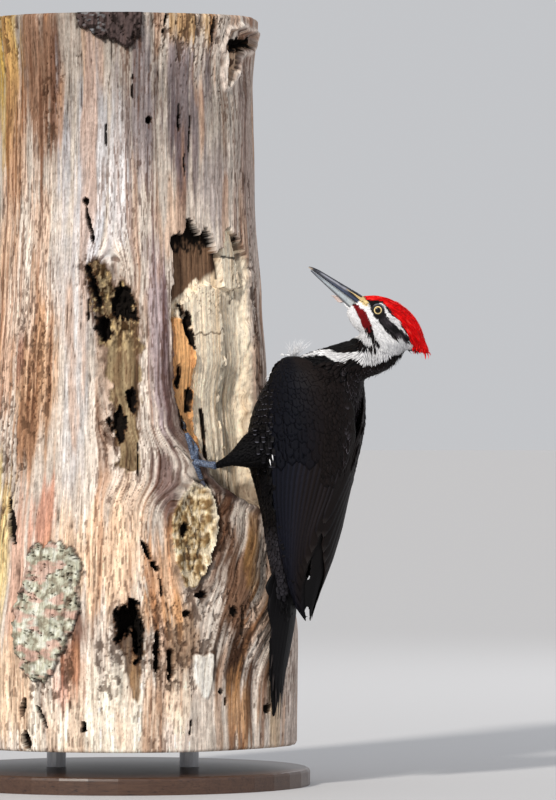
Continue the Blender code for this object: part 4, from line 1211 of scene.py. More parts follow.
def blade(kind, rings, sides, width, keel=1.0):
    """A thin closed shape to repeat: x across, t from root to tip, z up. width gives the half width at t."""
    bm = bmesh.new()
    outline = []
    for k in range(rings):
        t = k / (rings - 1)
        half = max(float(width(t)), 0.02)
        turns = [math.tau * i / sides + (math.pi / 2 if sides == 3 else 0) for i in range(sides)]
        thick = min(1, half * 3) * (1 - 0.6 * t)
        outline.append([Vector((half * math.cos(a), t, math.sin(a) * thick)) for a in turns])
    loft(bm, outline)
    bmesh.ops.triangulate(bm, faces=bm.faces)
    mesh = bpy.data.meshes.new(kind)
    bm.to_mesh(mesh)
    bm.free()
    faces = np.array([list(f.vertices) for f in mesh.polygons])
    shape = points_of(mesh)
    bpy.data.meshes.remove(mesh)
    ridge = np.abs(shape[:, 0]) < 1e-6
    shape[ridge, 2] *= keel
    return shape, faces


def strand_width(t):
    return (1 - t) ** 0.55 * (0.55 + 0.45 * smooth(t / 0.25))


def rounded_width(t, root, slope, end, power):
    """A vane that widens from its root and is rounded off from the end part on."""
    return min(1.0, root + slope * t) * max(0.0, 1 - max(0.0, (t - end) / (1 - end)) ** power) ** 0.5


def pointed_width(t):
    return min(1.0, 0.5 + 2.5 * t) * (1 - smooth((t - 0.55) / 0.45) * 0.93)


STRAND = blade("strand", 4, 3, strand_width)
LOCK = blade("lock", 5, 4, lambda t: (1 - t**2.2) * (0.6 + 0.4 * smooth(t / 0.3)), 1.0)
FEATHER = blade("feather", 7, 6, lambda t: rounded_width(t, 0.45, 1.6, 0.62, 2.2), 1.3)
COVERT = blade("covert", 8, 6, lambda t: rounded_width(t, 0.6, 2, 0.74, 2), 1.0)
QUILL = blade("quill", 15, 6, lambda t: rounded_width(t, 0.5, 2.5, 0.8, 2), 1.5)
STIFF_QUILL = blade("stiff_quill", 15, 6, pointed_width, 2.0)


def joined(name, shape, points, colours, roots, reach, material, replaces=()):
    """One mesh of many like blades. points is (blades, corners, 3) and reach their half width and length in mm."""
    corners, faces = shape
    count, size = points.shape[:2]
    mesh = bpy.data.meshes.new(name)
    mesh.vertices.add(count * size)
    mesh.vertices.foreach_set("co", points.ravel())
    index = (faces[None] + (np.arange(count) * size)[:, None, None]).reshape(-1)
    mesh.loops.add(len(index))
    mesh.loops.foreach_set("vertex_index", index.astype(np.int32))
    mesh.polygons.add(len(index) // 3)
    mesh.polygons.foreach_set("loop_start", np.arange(0, len(index), 3, dtype=np.int32))
    mesh.update(calc_edges=True)
    mesh.shade_smooth()
    tint(mesh, "marking", colours.reshape(-1, 3))
    patch = np.stack([corners[:, 0], corners[:, 1] * 2 - 1], axis=1) * PATCH
    unwrap = unwrap_of(roots)[:, None] + patch[None]
    reach = np.stack([np.broadcast_to(side, count) for side in reach], axis=1)
    for layer, values in (("OFBake", unwrap), ("vane", corners[None, :, :2] * reach[:, None])):
        mesh.uv_layers.new(name=layer).data.foreach_set("uv", values.reshape(-1, 2)[index].ravel())
    return piece(name, mesh, material, replaces)


def unwrap_of(points):
    """A place on an unwrap of the skin: round the bird's long axis, and along it from bill to tail."""
    out, side, up = bird_place(points).T
    forward, head_up, head_side = head_place(points).T
    on_head = smooth((up - 398) / 14) * smooth((out - 225) / 20)
    body_turn = np.arctan2(side, out - 192) / math.tau + 0.5
    head_turn = np.arctan2(head_side, -head_up - 1) / math.tau + 0.5
    across = np.where(on_head > 0.5, head_turn * 0.46 + 0.02, body_turn * 0.96 + 0.02)
    along = np.where(on_head > 0.5, 0.76 + 0.22 * (forward + 52) / 100, 0.02 + 0.7 * (up - 60) / 350)
    return np.clip(np.stack([across, along], axis=1), 0.003, 0.997)


def across(corners):
    """The cross product of two edges of each triangle: square to its face, and twice its area long."""
    return np.cross(corners[:, 1] - corners[:, 0], corners[:, 2] - corners[:, 0])


class Skin:
    """The skin's faces and search tree, on which feathers are set."""

    def __init__(self, mesh, tree, at, names):
        self.tree, self.names = tree, names
        mesh.calc_loop_triangles()
        index = np.empty(len(mesh.loop_triangles) * 3, int)
        mesh.loop_triangles.foreach_get("vertices", index)
        index = index.reshape(-1, 3)
        self.corners = points_of(mesh)[index]
        self.node = at[index[:, 0]]
        self.middles = self.corners.mean(axis=1)
        self.ups = unit(across(self.corners))

    def part(self, *wanted):
        return np.isin(self.node, [self.names.index(n) for n in wanted])

    def scatter(self, chosen, spacing):
        """Places over the chosen faces, about that far apart in mm."""
        corners = self.corners[chosen]
        area = np.linalg.norm(across(corners), axis=1) / 2
        gap = spacing * MM
        count = int(area.sum() / gap**2 * 3.5)
        face = RANDOM.choice(len(corners), count, p=area / area.sum())
        a, b = np.sqrt(RANDOM.random(count)), RANDOM.random(count)
        weights = np.stack([1 - a, a * (1 - b), a * b], axis=1)
        points = np.einsum("nk,nkd->nd", weights, corners[face])
        near = KDTree(count)
        for i, point in enumerate(points):
            near.insert(point, i)
        near.balance()
        kept = np.ones(count, bool)
        for i, point in enumerate(points):
            if kept[i]:
                for _, j, _ in near.find_range(point, gap):
                    if j > i:
                        kept[j] = False
        return points[kept]

    def line(self, roots, length, lift_middle, lift_tip, way=None):
        """Three points and up directions for each feather that lies over the skin from its root."""
        first, up_first, _ = nearest(self.tree, roots)
        heading = lie(first, up_first) if way is None else way
        half = np.reshape(length, (-1, 1)) / 2
        middle, up_middle, _ = nearest(self.tree, first + heading * half * MM)
        heading_on = lie(middle, up_middle) if way is None else way
        tip, up_tip, _ = nearest(self.tree, middle + heading_on * half * MM)
        points = np.stack(
            [
                first - up_first * 0.25 * MM,
                middle + up_middle * np.reshape(lift_middle, (-1, 1)) * MM,
                tip + up_tip * np.reshape(lift_tip, (-1, 1)) * MM,
            ],
            axis=1,
        )
        return points, np.stack([up_first, up_middle, up_tip], axis=1)


def bent(shape, line, ups, width, depth, cup=0.0):
    """The blade's corners along each feather's line of three points."""
    corners = shape[0]
    x, t, z = corners.T
    basis = np.stack([(1 - t) * (1 - 2 * t), 4 * t * (1 - t), t * (2 * t - 1)])
    slope = np.stack([4 * t - 3, 4 - 8 * t, 4 * t - 1])
    centre = np.einsum("km,nkd->nmd", basis, line)
    along = unit(np.einsum("km,nkd->nmd", slope, line))
    up = unit(np.einsum("km,nkd->nmd", basis, ups))
    side = unit(np.cross(along, up))
    width, depth = (np.reshape(size, (-1, 1, 1)) * MM for size in (width, depth))
    sag = np.reshape(cup, (-1, 1)) * x[None] ** 2 * MM
    return centre + side * x[None, :, None] * width + up * (z[None, :, None] * depth - sag[..., None])


def graded(shape, root, tip, start=0.5):
    """Colours that go from the root's to the tip's along each feather."""
    share = smooth((shape[0][:, 1] - start) / (1 - start))[None, :, None]
    return root[:, None] * (1 - share) + tip[:, None] * share


def rimmed(shape, fringe):
    """How pale each corner of a feather is, for a fringe round its tip."""
    x, t, _ = shape[0].T
    edge = np.maximum(smooth((t - 0.86) / 0.1), smooth((np.abs(x) - 0.7) / 0.25) * smooth((t - 0.5) / 0.25))
    return edge[None] * fringe[:, None]


def plant(skin, name, shape, roots, length, width, depth, lifts, material, tones=None, way=None):
    """A coat piece: one blade at each root, in the skin's marking there."""
    line, ups = skin.line(roots, length, *lifts, way)
    base = varied(marking(roots) if tones is None else tones, 0.16)
    points = bent(shape, line, ups, width, depth)
    # Each blade darker at its root: painted shade under the feathers that lap over it
    joined(name, shape, points, graded(shape, base * 0.8, base, 0.0), roots, (width, length), material)


def set_lines(name, shape, lines, ways, width, depth, colours, reach, material):
    """A coat piece: one blade along each line of three points."""
    lines = np.array(lines)
    joined(name, shape, bent(shape, lines, np.array(ways), width, depth), colours, lines[:, 0], reach, material)


def from_eye(points):
    """How far each place on the head is from the middle of the eye's bare ring, seen from the side."""
    return np.hypot(*(head_place(points)[:, :2] - (12.6, 4.5)).T)


def make_head_coat(skin, whites, reds):
    """Short fur-like feathers over the face, longer ones on the crown, and the crest's plumes."""
    head = skin.part("head", "crest")
    forward = head_place(skin.middles)[:, 0]
    roots = skin.scatter(head & (forward < 37), 0.82)
    roots = roots[(from_eye(roots) > 5.2) | (np.abs(head_place(roots)[:, 2]) < 9)]
    tones = marking(roots)
    red = is_red(tones)
    back = smooth((28 - head_place(roots)[:, 0]) / 40)
    length = np.where(from_eye(roots) < 9, 1.5, 2.0 + 2.6 * back + 0.5 * RANDOM.random(len(roots)))
    width = 0.36 + 0.16 * back
    lifts = np.array([0.25 + 0.25 * back, 0.45 + 0.35 * back * (0.6 + 0.8 * RANDOM.random(len(roots)))])
    tones = np.where(red[:, None], red_tones(roots), tones)
    long_length = length + 1.6 + 5.0 * smooth((-12 - head_place(roots)[:, 0]) / 30)
    for name, chosen, reach, material in (("face", ~red, length, whites), ("crown", red, long_length, reds)):
        some = roots[chosen], reach[chosen], width[chosen], 0.16, lifts[:, chosen]
        plant(skin, "coat_" + name, STRAND, *some, material, tones[chosen])
    plumes = skin.scatter(head & (forward < 8) & is_red(marking(skin.middles, 0)), 1.7)
    count = len(plumes)
    tail = smooth((-12 - head_place(plumes)[:, 0]) / 26)
    length = 6 + 9 * tail * (0.4 + 0.6 * RANDOM.random(count))
    lifts = 0.8 + 0.4 * RANDOM.random(count), 0.7 + (0.8 + 0.6 * tail) * RANDOM.random(count)
    plant(skin, "crest_plumes", LOCK, plumes, length, 0.42 + 0.2 * tail, 0.2, lifts, reds, red_tones(plumes))
    tips = skin.scatter(head & (forward < -33) & is_red(marking(skin.middles, 0)), 2.2)
    count = len(tips)
    length = 6.5 + 6 * RANDOM.random(count)
    droop = 1.0 * RANDOM.random((count, 1)) * (head_place(tips)[:, 1:2] < 2)
    way = -HEAD_AXES[0] - HEAD_AXES[1] * droop + HEAD_AXES[2] * 0.12 * RANDOM.standard_normal((count, 1))
    lifts = 0.5 + 0.4 * RANDOM.random(count), 0.2 + 2.4 * RANDOM.random(count) ** 2
    plant(skin, "crest_tips", LOCK, tips, length, 0.65, 0.22, lifts, reds, red_tones(tips), unit(way))


def make_crest_end(skin, reds):
    """Loose ragged locks that hang free from the crest's end."""
    forward, up, _ = head_place(skin.middles).T
    red = is_red(marking(skin.middles, 0))
    roots = skin.scatter(skin.part("crest", "head") & (forward < -33) & (up < 1) & red, 1.5)
    count = len(roots)
    _, ups, _ = nearest(skin.tree, roots)
    far = smooth((-38 - head_place(roots)[:, 0]) / 9)[:, None]
    way = -HEAD_AXES[0] * (0.55 + 0.6 * far) - HEAD_AXES[1] * (0.35 + 0.5 * RANDOM.random((count, 1)))
    way = unit(way + 0.14 * RANDOM.standard_normal((count, 3)))
    long = (2.5 + (2.5 + 4.5 * far) * RANDOM.random((count, 1))) * MM
    hook = -HEAD_AXES[1] * long * 0.35 * far
    lines = np.stack([roots, roots + way * long * 0.5 + ups * 0.5 * MM, roots + way * long + hook], axis=1)
    width = 0.5 + 0.25 * RANDOM.random(count)
    tones = varied(red_tones(roots), 0.12)
    # Darker at the root: painted shade where the locks lap
    colours = graded(LOCK, tones * 0.8, tones, 0)
    ways = np.repeat(ups[:, None], 3, axis=1)
    set_lines("crest_end", LOCK, lines, ways, width, 0.24, colours, (width, 6.0), reds)


def make_nape_fringe(skin, blacks):
    """Ragged black points that hang under the white of the cheek and along the nape."""
    forward, up, side = head_place(skin.middles).T
    chosen = (forward < 12) & (forward > -36) & (up < -5) & (np.abs(side) < 17)
    chosen = chosen & skin.part("head", "neck", "crest") & (marking(skin.middles, 0)[:, 1] < 0.1)
    roots = skin.scatter(chosen, 2.7)
    count = len(roots)
    length = 5.5 + 3.5 * RANDOM.random(count)
    lifts = 1.2 + 0.8 * RANDOM.random(count), 1.6 + 3.8 * RANDOM.random(count) ** 1.6
    tones = np.clip(varied(flat(count, BROWN_BLACK), 0.3), 0, 1)
    plant(skin, "nape_fringe", LOCK, roots, length, 1.0, 0.28, lifts, blacks, tones)


def make_neck_coat(skin, whites):
    roots = skin.scatter(skin.part("neck"), 1.15)
    count = len(roots)
    length = 5 + 2 * RANDOM.random(count)
    lifts = 0.6 + 0.3 * RANDOM.random(count), 1.1 + 0.6 * RANDOM.random(count)
    plant(skin, "coat_neck", LOCK, roots, length, 0.75, 0.22, lifts, whites)


def uncovered(roots, ups, trees, reach=0.02):
    """The roots that no wing or tail lies over."""
    free = np.ones(len(roots), bool)
    for i, (root, up) in enumerate(zip(roots, ups)):
        start = Vector(root + up * 0.0012)
        free[i] = not any(tree.ray_cast(start, Vector(up), reach)[0] for tree in trees)
    return free


WING_BULGE = 7
# Wing by height: centre's out, half depth, half width, then degrees from the back at which the left wing begins,
# the right one begins and both end
WING = np.array(
    [
        (155, 194, 4, 5, 50, -5, 85), (166, 191, 9, 11, 42, -28, 92), (185, 189, 17, 20.5, 38, -34, 92),
        (212, 189, 27.5, 31, 36, -43, 92), (239, 190, 35, 38.5, 30, -36, 93), (267, 191, 40, 44.5, 18, -17, 96),
        (300, 194, 45.5, 49, 11, 3, 98), (331, 198, 49, 50, 14, 12, 105), (350, 202, 46.5, 49.5, 20, 20, 113),
        (370, 204, 43.5, 47.5, 28, 28, 119), (385, 203, 38, 43.5, 42, 42, 120), (397, 200, 21, 37, 68, 68, 119),
        (399.5, 199, 12, 32, 85, 85, 112),
    ]
)


def wing_row(height, *columns):
    """Columns of the wing's table at a height."""
    return [np.interp(height, WING[:, 0], WING[:, k]) for k in columns]


def before_wing(skin):
    """The faces of the wings' skin that the flank's feathers cover, in front of the wing feathers."""
    out, side, up = bird_place(skin.middles).T
    middle, depth, width, last = wing_row(up, 1, 2, 3, 6)
    turn = np.degrees(np.arctan2(np.abs(side) / width, (out - middle) / depth))
    return skin.part("wing_left", "wing_right") & (turn > last + 1) & (up > 200)


def right_back(points):
    """1 on the right half of the upper back, whose feathers are fringed with grey, fading to 0 on the left."""
    out, side, _ = bird_place(points).T
    return smooth((out - 0.53 * side - 230) / 7)


def make_body_coat(skin, blacks):
    """Overlapping contour feathers on breast, belly, back and rump, and looser ones on the thighs."""
    trees = [tree_of(NODES[n].data) for n in ("wing_left", "wing_right")]
    for name, part, spacing, long, wide, lifts in (
        ("coat_body", ("torso",), 2.7, 9.0, 2.4, (0.9, 1.6)),
        ("coat_thighs", ("thigh_left", "thigh_right"), 1.9, 6.5, 1.5, (0.8, 1.4)),
    ):
        roots = skin.scatter(skin.part(*part), spacing)
        _, ups, _ = nearest(skin.tree, roots)
        roots = roots[uncovered(roots, ups, trees)]
        if "torso" in part:
            roots = np.concatenate([roots, skin.scatter(before_wing(skin), spacing)])
        count = len(roots)
        out, side, up = bird_place(roots).T
        lower = smooth((400 - up) / 40)
        length = long * (0.85 + 0.3 * RANDOM.random(count)) * (0.55 + 0.45 * lower)
        width = wide * (0.85 + 0.3 * RANDOM.random(count)) * (0.6 + 0.4 * lower)
        line, ways = skin.line(roots, length, lifts[0], lifts[1] * (0.8 + 0.5 * RANDOM.random(count)))
        points = bent(FEATHER, line, ways, width, 0.3, 0.25)
        base = varied(marking(roots), 0.18)
        flank = smooth((190 - out) / 14) * smooth((up - 296) / 20) * smooth((np.abs(side) - 12) / 10)
        mantle = right_back(roots) * smooth((up - 290) / 20) * smooth((396 - up) / 12)
        fringe = np.clip(0.1 * flank + 0.7 * mantle, 0, 1) * (0.2 + 0.8 * RANDOM.random(count))
        edge = rimmed(FEATHER, fringe * (part[0] == "torso"))
        # Darker at the root: painted shade under the feathers that lap over it
        colours = layered(graded(FEATHER, base * 0.75, base, 0.2), (edge, PALE_FRINGE))
        joined(name, FEATHER, points, colours, roots, (width, length), blacks)


def make_flank_rows(skin, blacks):
    """Rows of black feathers with pale ends down each flank, in front of the wing."""
    roots, tips, long = [], [], 8.5
    torso, *thighs = (tree_of(NODES[n].data) for n in ("torso", "thigh_left", "thigh_right"))
    for mirror in (1, -1):
        for row, level in enumerate(np.arange(297, 376, 5.8)):
            middle, depth, width, last = wing_row(level, 1, 2, 3, 6)
            for turn in np.radians(np.arange(last + 3 + 2 * (row % 2), last + 44, 4.6)):
                high = level + 0.9 * RANDOM.standard_normal()
                ahead = 1.6 * math.cos(turn), 1.6 * mirror * math.sin(turn), 0
                start = bird_point((middle + depth * ahead[0], width * ahead[1], high))
                inward = np.array(ahead) @ BIRD_AXES
                hit = skin.tree.ray_cast(Vector(start), Vector(-unit(inward)))[0]
                if hit is None:
                    continue
                out, side, _ = bird_place(np.array(hit))
                on_thigh = min(t.find_nearest(hit)[3] for t in thighs) < torso.find_nearest(hit)[3]
                on_thigh = on_thigh and out - 0.53 * abs(side) < 138
                if out < middle - 6 and side * mirror > 4 and not on_thigh:
                    roots.append(np.array(hit) + (0, 0, long * MM))
                    tips.append(1 - abs(math.degrees(turn) - last - 18) / 26)
    roots, tips = nearest(skin.tree, np.array(roots))[0], np.clip(tips, 0.15, 1)
    count = len(roots)
    width = 2.3 + 0.4 * RANDOM.random(count)
    down = np.repeat([[0.0, 0.0, -1.0]], count, axis=0)
    line, ups = skin.line(roots, long, 1.9, 2.2 + 0.4 * RANDOM.random(count), down)
    points = bent(QUILL, line, ups, width, 0.28, 0.3)
    base = flat(count, BLACK) * (1.2 + 0.3 * RANDOM.random((count, 1)))
    tips = tips * (0.35 + 0.65 * RANDOM.random(count))
    pale = smooth((QUILL[0][:, 1] - 0.87) / 0.05)[None] * tips[:, None]
    colours = layered(graded(QUILL, base, base, 0.2), (pale, FLANK_PALE))
    joined("flank_rows", QUILL, points, colours, roots, (width, long), blacks)


# The white edge of the wing's lining that shows from the neck over the shoulder's front: out, side, up
SHOULDER_EDGE = [
    (217, 23.5, 404), (209, 25, 404), (198.5, 24.7, 403), (190, 23.6, 401.5), (182, 21.2, 397.5),
    (174, 19.7, 388.5),
    (168.6, 20.3, 378),
]
# White-ended feathers at the wing's lower front edge
WHITE_ENDS = [(178.5, 46, 307.5), (183, 47, 310.5)]


def make_shoulder_edge(skin, whites):
    lines, ways = [], []
    marks = np.array(SHOULDER_EDGE, float)
    for mirror in (1, -1):
        for share in np.linspace(0, len(marks) - 1.001, 130):
            first = int(share)
            at = marks[first] + (marks[first + 1] - marks[first]) * (share - first)
            run = unit(marks[first + 1] - marks[first]) + 0.12 * RANDOM.standard_normal(3)
            guess = Vector(bird_point(at * (1, mirror, 1)))
            place, up = (np.array(v) for v in skin.tree.find_nearest(guess)[:2])
            run = (run * (1, mirror, 1)) @ BIRD_AXES * (3.4 + 1.6 * RANDOM.random()) * MM
            place = place + unit(np.cross(run, up)) * 0.35 * RANDOM.standard_normal() * MM
            high = up * (2.8 + 2.6 * smooth((share - 2.4) / 1.5)) * MM
            lines.append([place + up * 1.6 * MM, place + high + run * 0.5, place + high + run])
            ways.append([up] * 3)
        for out, side, height in WHITE_ENDS:
            guess = Vector(bird_point((out, side * mirror, height)))
            place, up = (np.array(v) for v in skin.tree.find_nearest(guess)[:2])
            run = np.array((0.9 * MM, 0, -5.6 * MM))
            high = up * 3.4 * MM
            lines.append([place + up * 2.4 * MM, place + high + run * 0.5, place + high + run])
            ways.append([up] * 3)
    tones = varied(flat(len(lines), WHITE), 0.1)
    set_lines("shoulder_edge", LOCK, lines, ways, 0.62, 0.2, graded(LOCK, tones, tones), (0.62, 4.0), whites)


def make_mantle(skin, blacks):
    """Longer feathers of the upper back, which lap over the wings' back edges."""
    out, side, up = bird_place(skin.middles).T
    turn = np.abs(np.arctan2(side, out - 195))
    roots = skin.scatter((turn < 0.75) & (up > 292) & (up < 394) & (out > 205), 2.8)
    count = len(roots)
    up = bird_place(roots)[:, 2]
    length = 9 + 4 * smooth((370 - up) / 60) + 2 * RANDOM.random(count)
    width = 2.1 + 0.8 * smooth((360 - up) / 60)
    line, ups = skin.line(roots, length, 1.5, 1.8 + 0.7 * RANDOM.random(count))
    points = bent(FEATHER, line, ups, width, 0.3, 0.35)
    base = varied(layered(flat(count, BLACK), (0.85 * np.ones(count), BROWN_BLACK)), 0.16)
    edge = rimmed(FEATHER, 0.9 * right_back(roots) * RANDOM.random(count) ** 1.2)
    # Darker at the root: painted shade under the feathers that lap over it
    colours = layered(graded(FEATHER, base * 0.75, base, 0.2), (edge, PALE_FRINGE))
    joined("coat_mantle", FEATHER, points, colours, roots, (width, length), blacks)


# ---- Wings and tail --------------------------------------

def wing_place(sign, share, height, lift):
    """World points on a wing: share 0 is its back edge and 1 its front edge. lift is mm off the CAD surface."""
    out, depth, width, first, last = wing_row(height, 1, 2, 3, 4 if sign > 0 else 5, 6)
    turn = np.radians(first + (last - first) * share)
    reach = depth + np.where(np.cos(turn) < 0, WING_BULGE * smooth((height - 200) / 100), 0)
    place = (out + (reach + lift) * np.cos(turn), sign * (width + lift) * np.sin(turn), height)
    return bird_point(np.stack(np.broadcast_arrays(*place), axis=-1))


def wing_girth(sign, height):
    """The wing's width in mm round the body at a height."""
    depth, width, first, last = wing_row(height, 2, 3, 4 if sign > 0 else 5, 6)
    return (depth + width) / 2 * np.radians(last - first)


def wing_feathers(sign, shape, share, root, tip, half_width, lift_root, lift_tip, cup=0.5, lap=0.0):
    """Feathers down the wing from a root to a tip height. lap raises their front edge over the next."""
    x, t, z = shape[0].T
    share, root, tip, half_width = (np.asarray(v, float)[:, None] for v in (share, root, tip, half_width))
    height = root + (tip - root) * t[None]
    across = x[None] * half_width / np.maximum(wing_girth(sign, height), 6.0)
    lift = np.reshape(lift_root, (-1, 1)) * (1 - t) + np.reshape(lift_tip, (-1, 1)) * t
    lift = lift + z[None] * 0.56 * cup - (cup * x[None] ** 2 + lap * x[None]) * np.minimum(1, t[None] * 3)
    return wing_place(sign, share - across, height, lift)


# Tip heights of the long feathers, from the back edge to the front
QUILL_TIPS = [246, 233, 219, 209, 201, 193, 183, 172, 163, 157, 159, 167, 180, 200]
# Rows of coverts: tip height, length, half width
COVERT_ROWS = [
    (392, 7, 2.4), (388.5, 8, 2.6), (384.5, 9, 2.7), (380, 10, 2.9), (375, 11, 3.1), (370, 12, 3.2),
    (364.5, 13, 3.4),
    (358.5, 14, 3.6), (352, 15, 3.8), (345, 17, 4.0), (337, 19, 4.3), (328, 22, 4.6), (318, 26, 5.0),
    (307, 31, 5.3),
    (296, 34, 5.6),
]


def make_wing(name, sign, blacks):
    """Long quills below, and rows of coverts that lap over each other above them."""
    count = len(QUILL_TIPS)
    share = (np.arange(count) + 0.1) / (count - 0.5)
    half = np.full(count, 6.2)
    lifts = -0.5 + (1 - share) * 0.3, 0.2 + (1 - share) * 0.7
    points = wing_feathers(sign, QUILL, share, np.full(count, 322.0), QUILL_TIPS, half, *lifts, 0.25, 0.5)
    x, t = QUILL[0][:, 0], QUILL[0][:, 1]
    # Brown black behind to black with a painted blue sheen in front
    base = layered(flat(count, BROWN_BLACK), (smooth((share - 0.35) / 0.5), BLUE_SHEEN_BLACK))
    base = base[:, None] * np.ones((1, len(t), 1)) * (1 + 0.1 * RANDOM.standard_normal((count, 1, 1)))
    # A painted highlight: lighter blue-grey front edges of the quills, more towards the wing's front
    quill_edge_highlight = (x < -0.6)[None] * (0.25 + 0.6 * smooth((share - 0.3) / 0.4))[:, None]
    tips = smooth((t - 0.93) / 0.05)[None] * smooth((0.35 - share) / 0.1)[:, None]
    colours = layered(base, (quill_edge_highlight, (36, 39, 52)), (0.3 * tips, (96, 88, 86)))
    roots = wing_place(sign, share, np.full(count, 310.0), 0)
    joined(f"quills_{name}", QUILL, points, colours, roots, (half, 150.0), blacks, [f"wing_{name}"])
    rows = []
    for row, (tip_height, length, half_width) in enumerate(COVERT_ROWS):
        girth = wing_girth(sign, tip_height)
        along = np.arange(-0.6 * half_width, girth + half_width, half_width)
        along = (along + (row % 2) * half_width * 0.55) / girth
        size = len(along)
        share = along + 0.012 * RANDOM.standard_normal(size)
        root = tip_height + length + 1.5 * RANDOM.random(size)
        tip = tip_height + 0.35 * length * (RANDOM.random(size) - 0.5)
        rows.append([share, root, tip, np.full(size, half_width), 0.08 + 0.05 * RANDOM.random(size)])
    share, root, tip, half, lift = np.concatenate(rows, axis=1)
    keep = share < 1.03
    share, root, tip, half, lift = share[keep], np.minimum(root[keep], 399), tip[keep], half[keep], lift[keep]
    count = len(share)
    points = wing_feathers(sign, COVERT, share, root, tip, half, 0.0, lift, 0.06, 0.03)
    # Brown black behind to black with a painted blue sheen in front
    base = varied(layered(flat(count, BROWN_BLACK), (smooth((share - 0.2) / 0.5), BLUE_SHEEN_BLACK * 0.8)), 0.06)
    pale = right_back(wing_place(sign, share, tip, 0)) * smooth((tip - 300) / 20) * RANDOM.random(count) ** 1.3
    pale = 0.7 * pale[:, None] * smooth((COVERT[0][:, 1] - 0.84) / 0.1)[None]
    # Exposed tips a little lighter than the covered roots: painted shade where the coverts lap
    colours = layered(graded(COVERT, base, base * 1.1, 0.6), (pale, PALE_FRINGE))
    roots = wing_place(sign, share, root, 0)
    joined(f"coverts_{name}", COVERT, points, colours, roots, (half, root - tip), blacks)


# Tail feathers on one side from the middle out: root side, tip side, tip height, half width (mm)
TAIL_QUILLS = [
    (1.5, 2.2, 65, 5.8), (4.5, 6.6, 75, 6.2), (8, 11, 91, 6.6), (11.5, 16, 112, 6.6), (14.5, 21, 140, 6.0),
    (16, 24, 172, 4.4),
]
TAIL_ROOT = 206


def make_tail(blacks):
    """Stiff pointed feathers, the middle pair longest and uppermost."""
    tree = tree_of(NODES["tail"].data)
    low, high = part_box("tail")
    heights, outs = [], []
    for height in np.linspace(low.z / MM + 3, high.z / MM - 3, 16):
        hit = tree.ray_cast(Vector(bird_point((400, 0, height))), Vector(-BIRD_AXES[0]))[0]
        if hit is not None:
            heights.append(height)
            outs.append(bird_place(np.array(hit))[0])
    x, t, z = STIFF_QUILL[0].T
    shaft = ((np.abs(x) < 0.1) & (z > 0))[:, None]
    points, tones, roots, reach = [], [], [], []
    for mirror in (1, -1):
        for order, (root_side, tip_side, tip_height, half_width) in enumerate(TAIL_QUILLS):
            height = TAIL_ROOT + (tip_height - TAIL_ROOT) * t
            bow = root_side + (tip_side - root_side) * smooth(t * 1.6) * (1 + 0.5 * (1 - t))
            side = mirror * bow + x * half_width
            out = np.interp(height, heights, outs) - 3.2 * (side / 20) ** 2 - 0.42 * order - 0.4
            out = out + z * 0.5 - 0.8 * x**2 * (x * mirror > 0) + 4.5 * smooth((112 - height) / 45)
            points.append(bird_point(np.stack([out, side, height], axis=1)))
            # The shafts' paler tone on their outer side is a painted glint along each shaft
            tones.append(np.where(shaft, paint(70, 62, 60), BLACK * (1.25 + 0.2 * RANDOM.random())))
            roots.append(bird_point((outs[-1], mirror * root_side, TAIL_ROOT)))
            reach.append((half_width, TAIL_ROOT - tip_height))
    points, tones, roots, reach = map(np.array, (points, tones, roots, reach))
    joined("tail_quills", STIFF_QUILL, points, tones, roots, reach.T, blacks, ["tail"])


# ---- Eyes, bill, feet and claws --------------------------

EYE_AT, EYE_RADIUS = (12.1, 3.9, 12.4), 5.3
PUPIL, IRIS = 2.55, 3.7
MOUTH_LINE = -2.4
# Halves of the bill: forward, far edge from the mouth line, half width (mm)
UPPER_BILL = [
    (24, 8.5, 7.4), (36, 8.0, 6.9), (50, 6.6, 5.4), (65, 5.2, 4.0), (78, 4.0, 2.7),
    (85, 2.5, 1.9), (87.5, 1.1, 1.5),
]
LOWER_BILL = [(24, 9.0, 6.8), (36, 8.2, 6.4), (48, 5.8, 5.0), (62, 4.1, 3.6), (76, 2.3, 2.4), (84, 1.1, 1.7)]


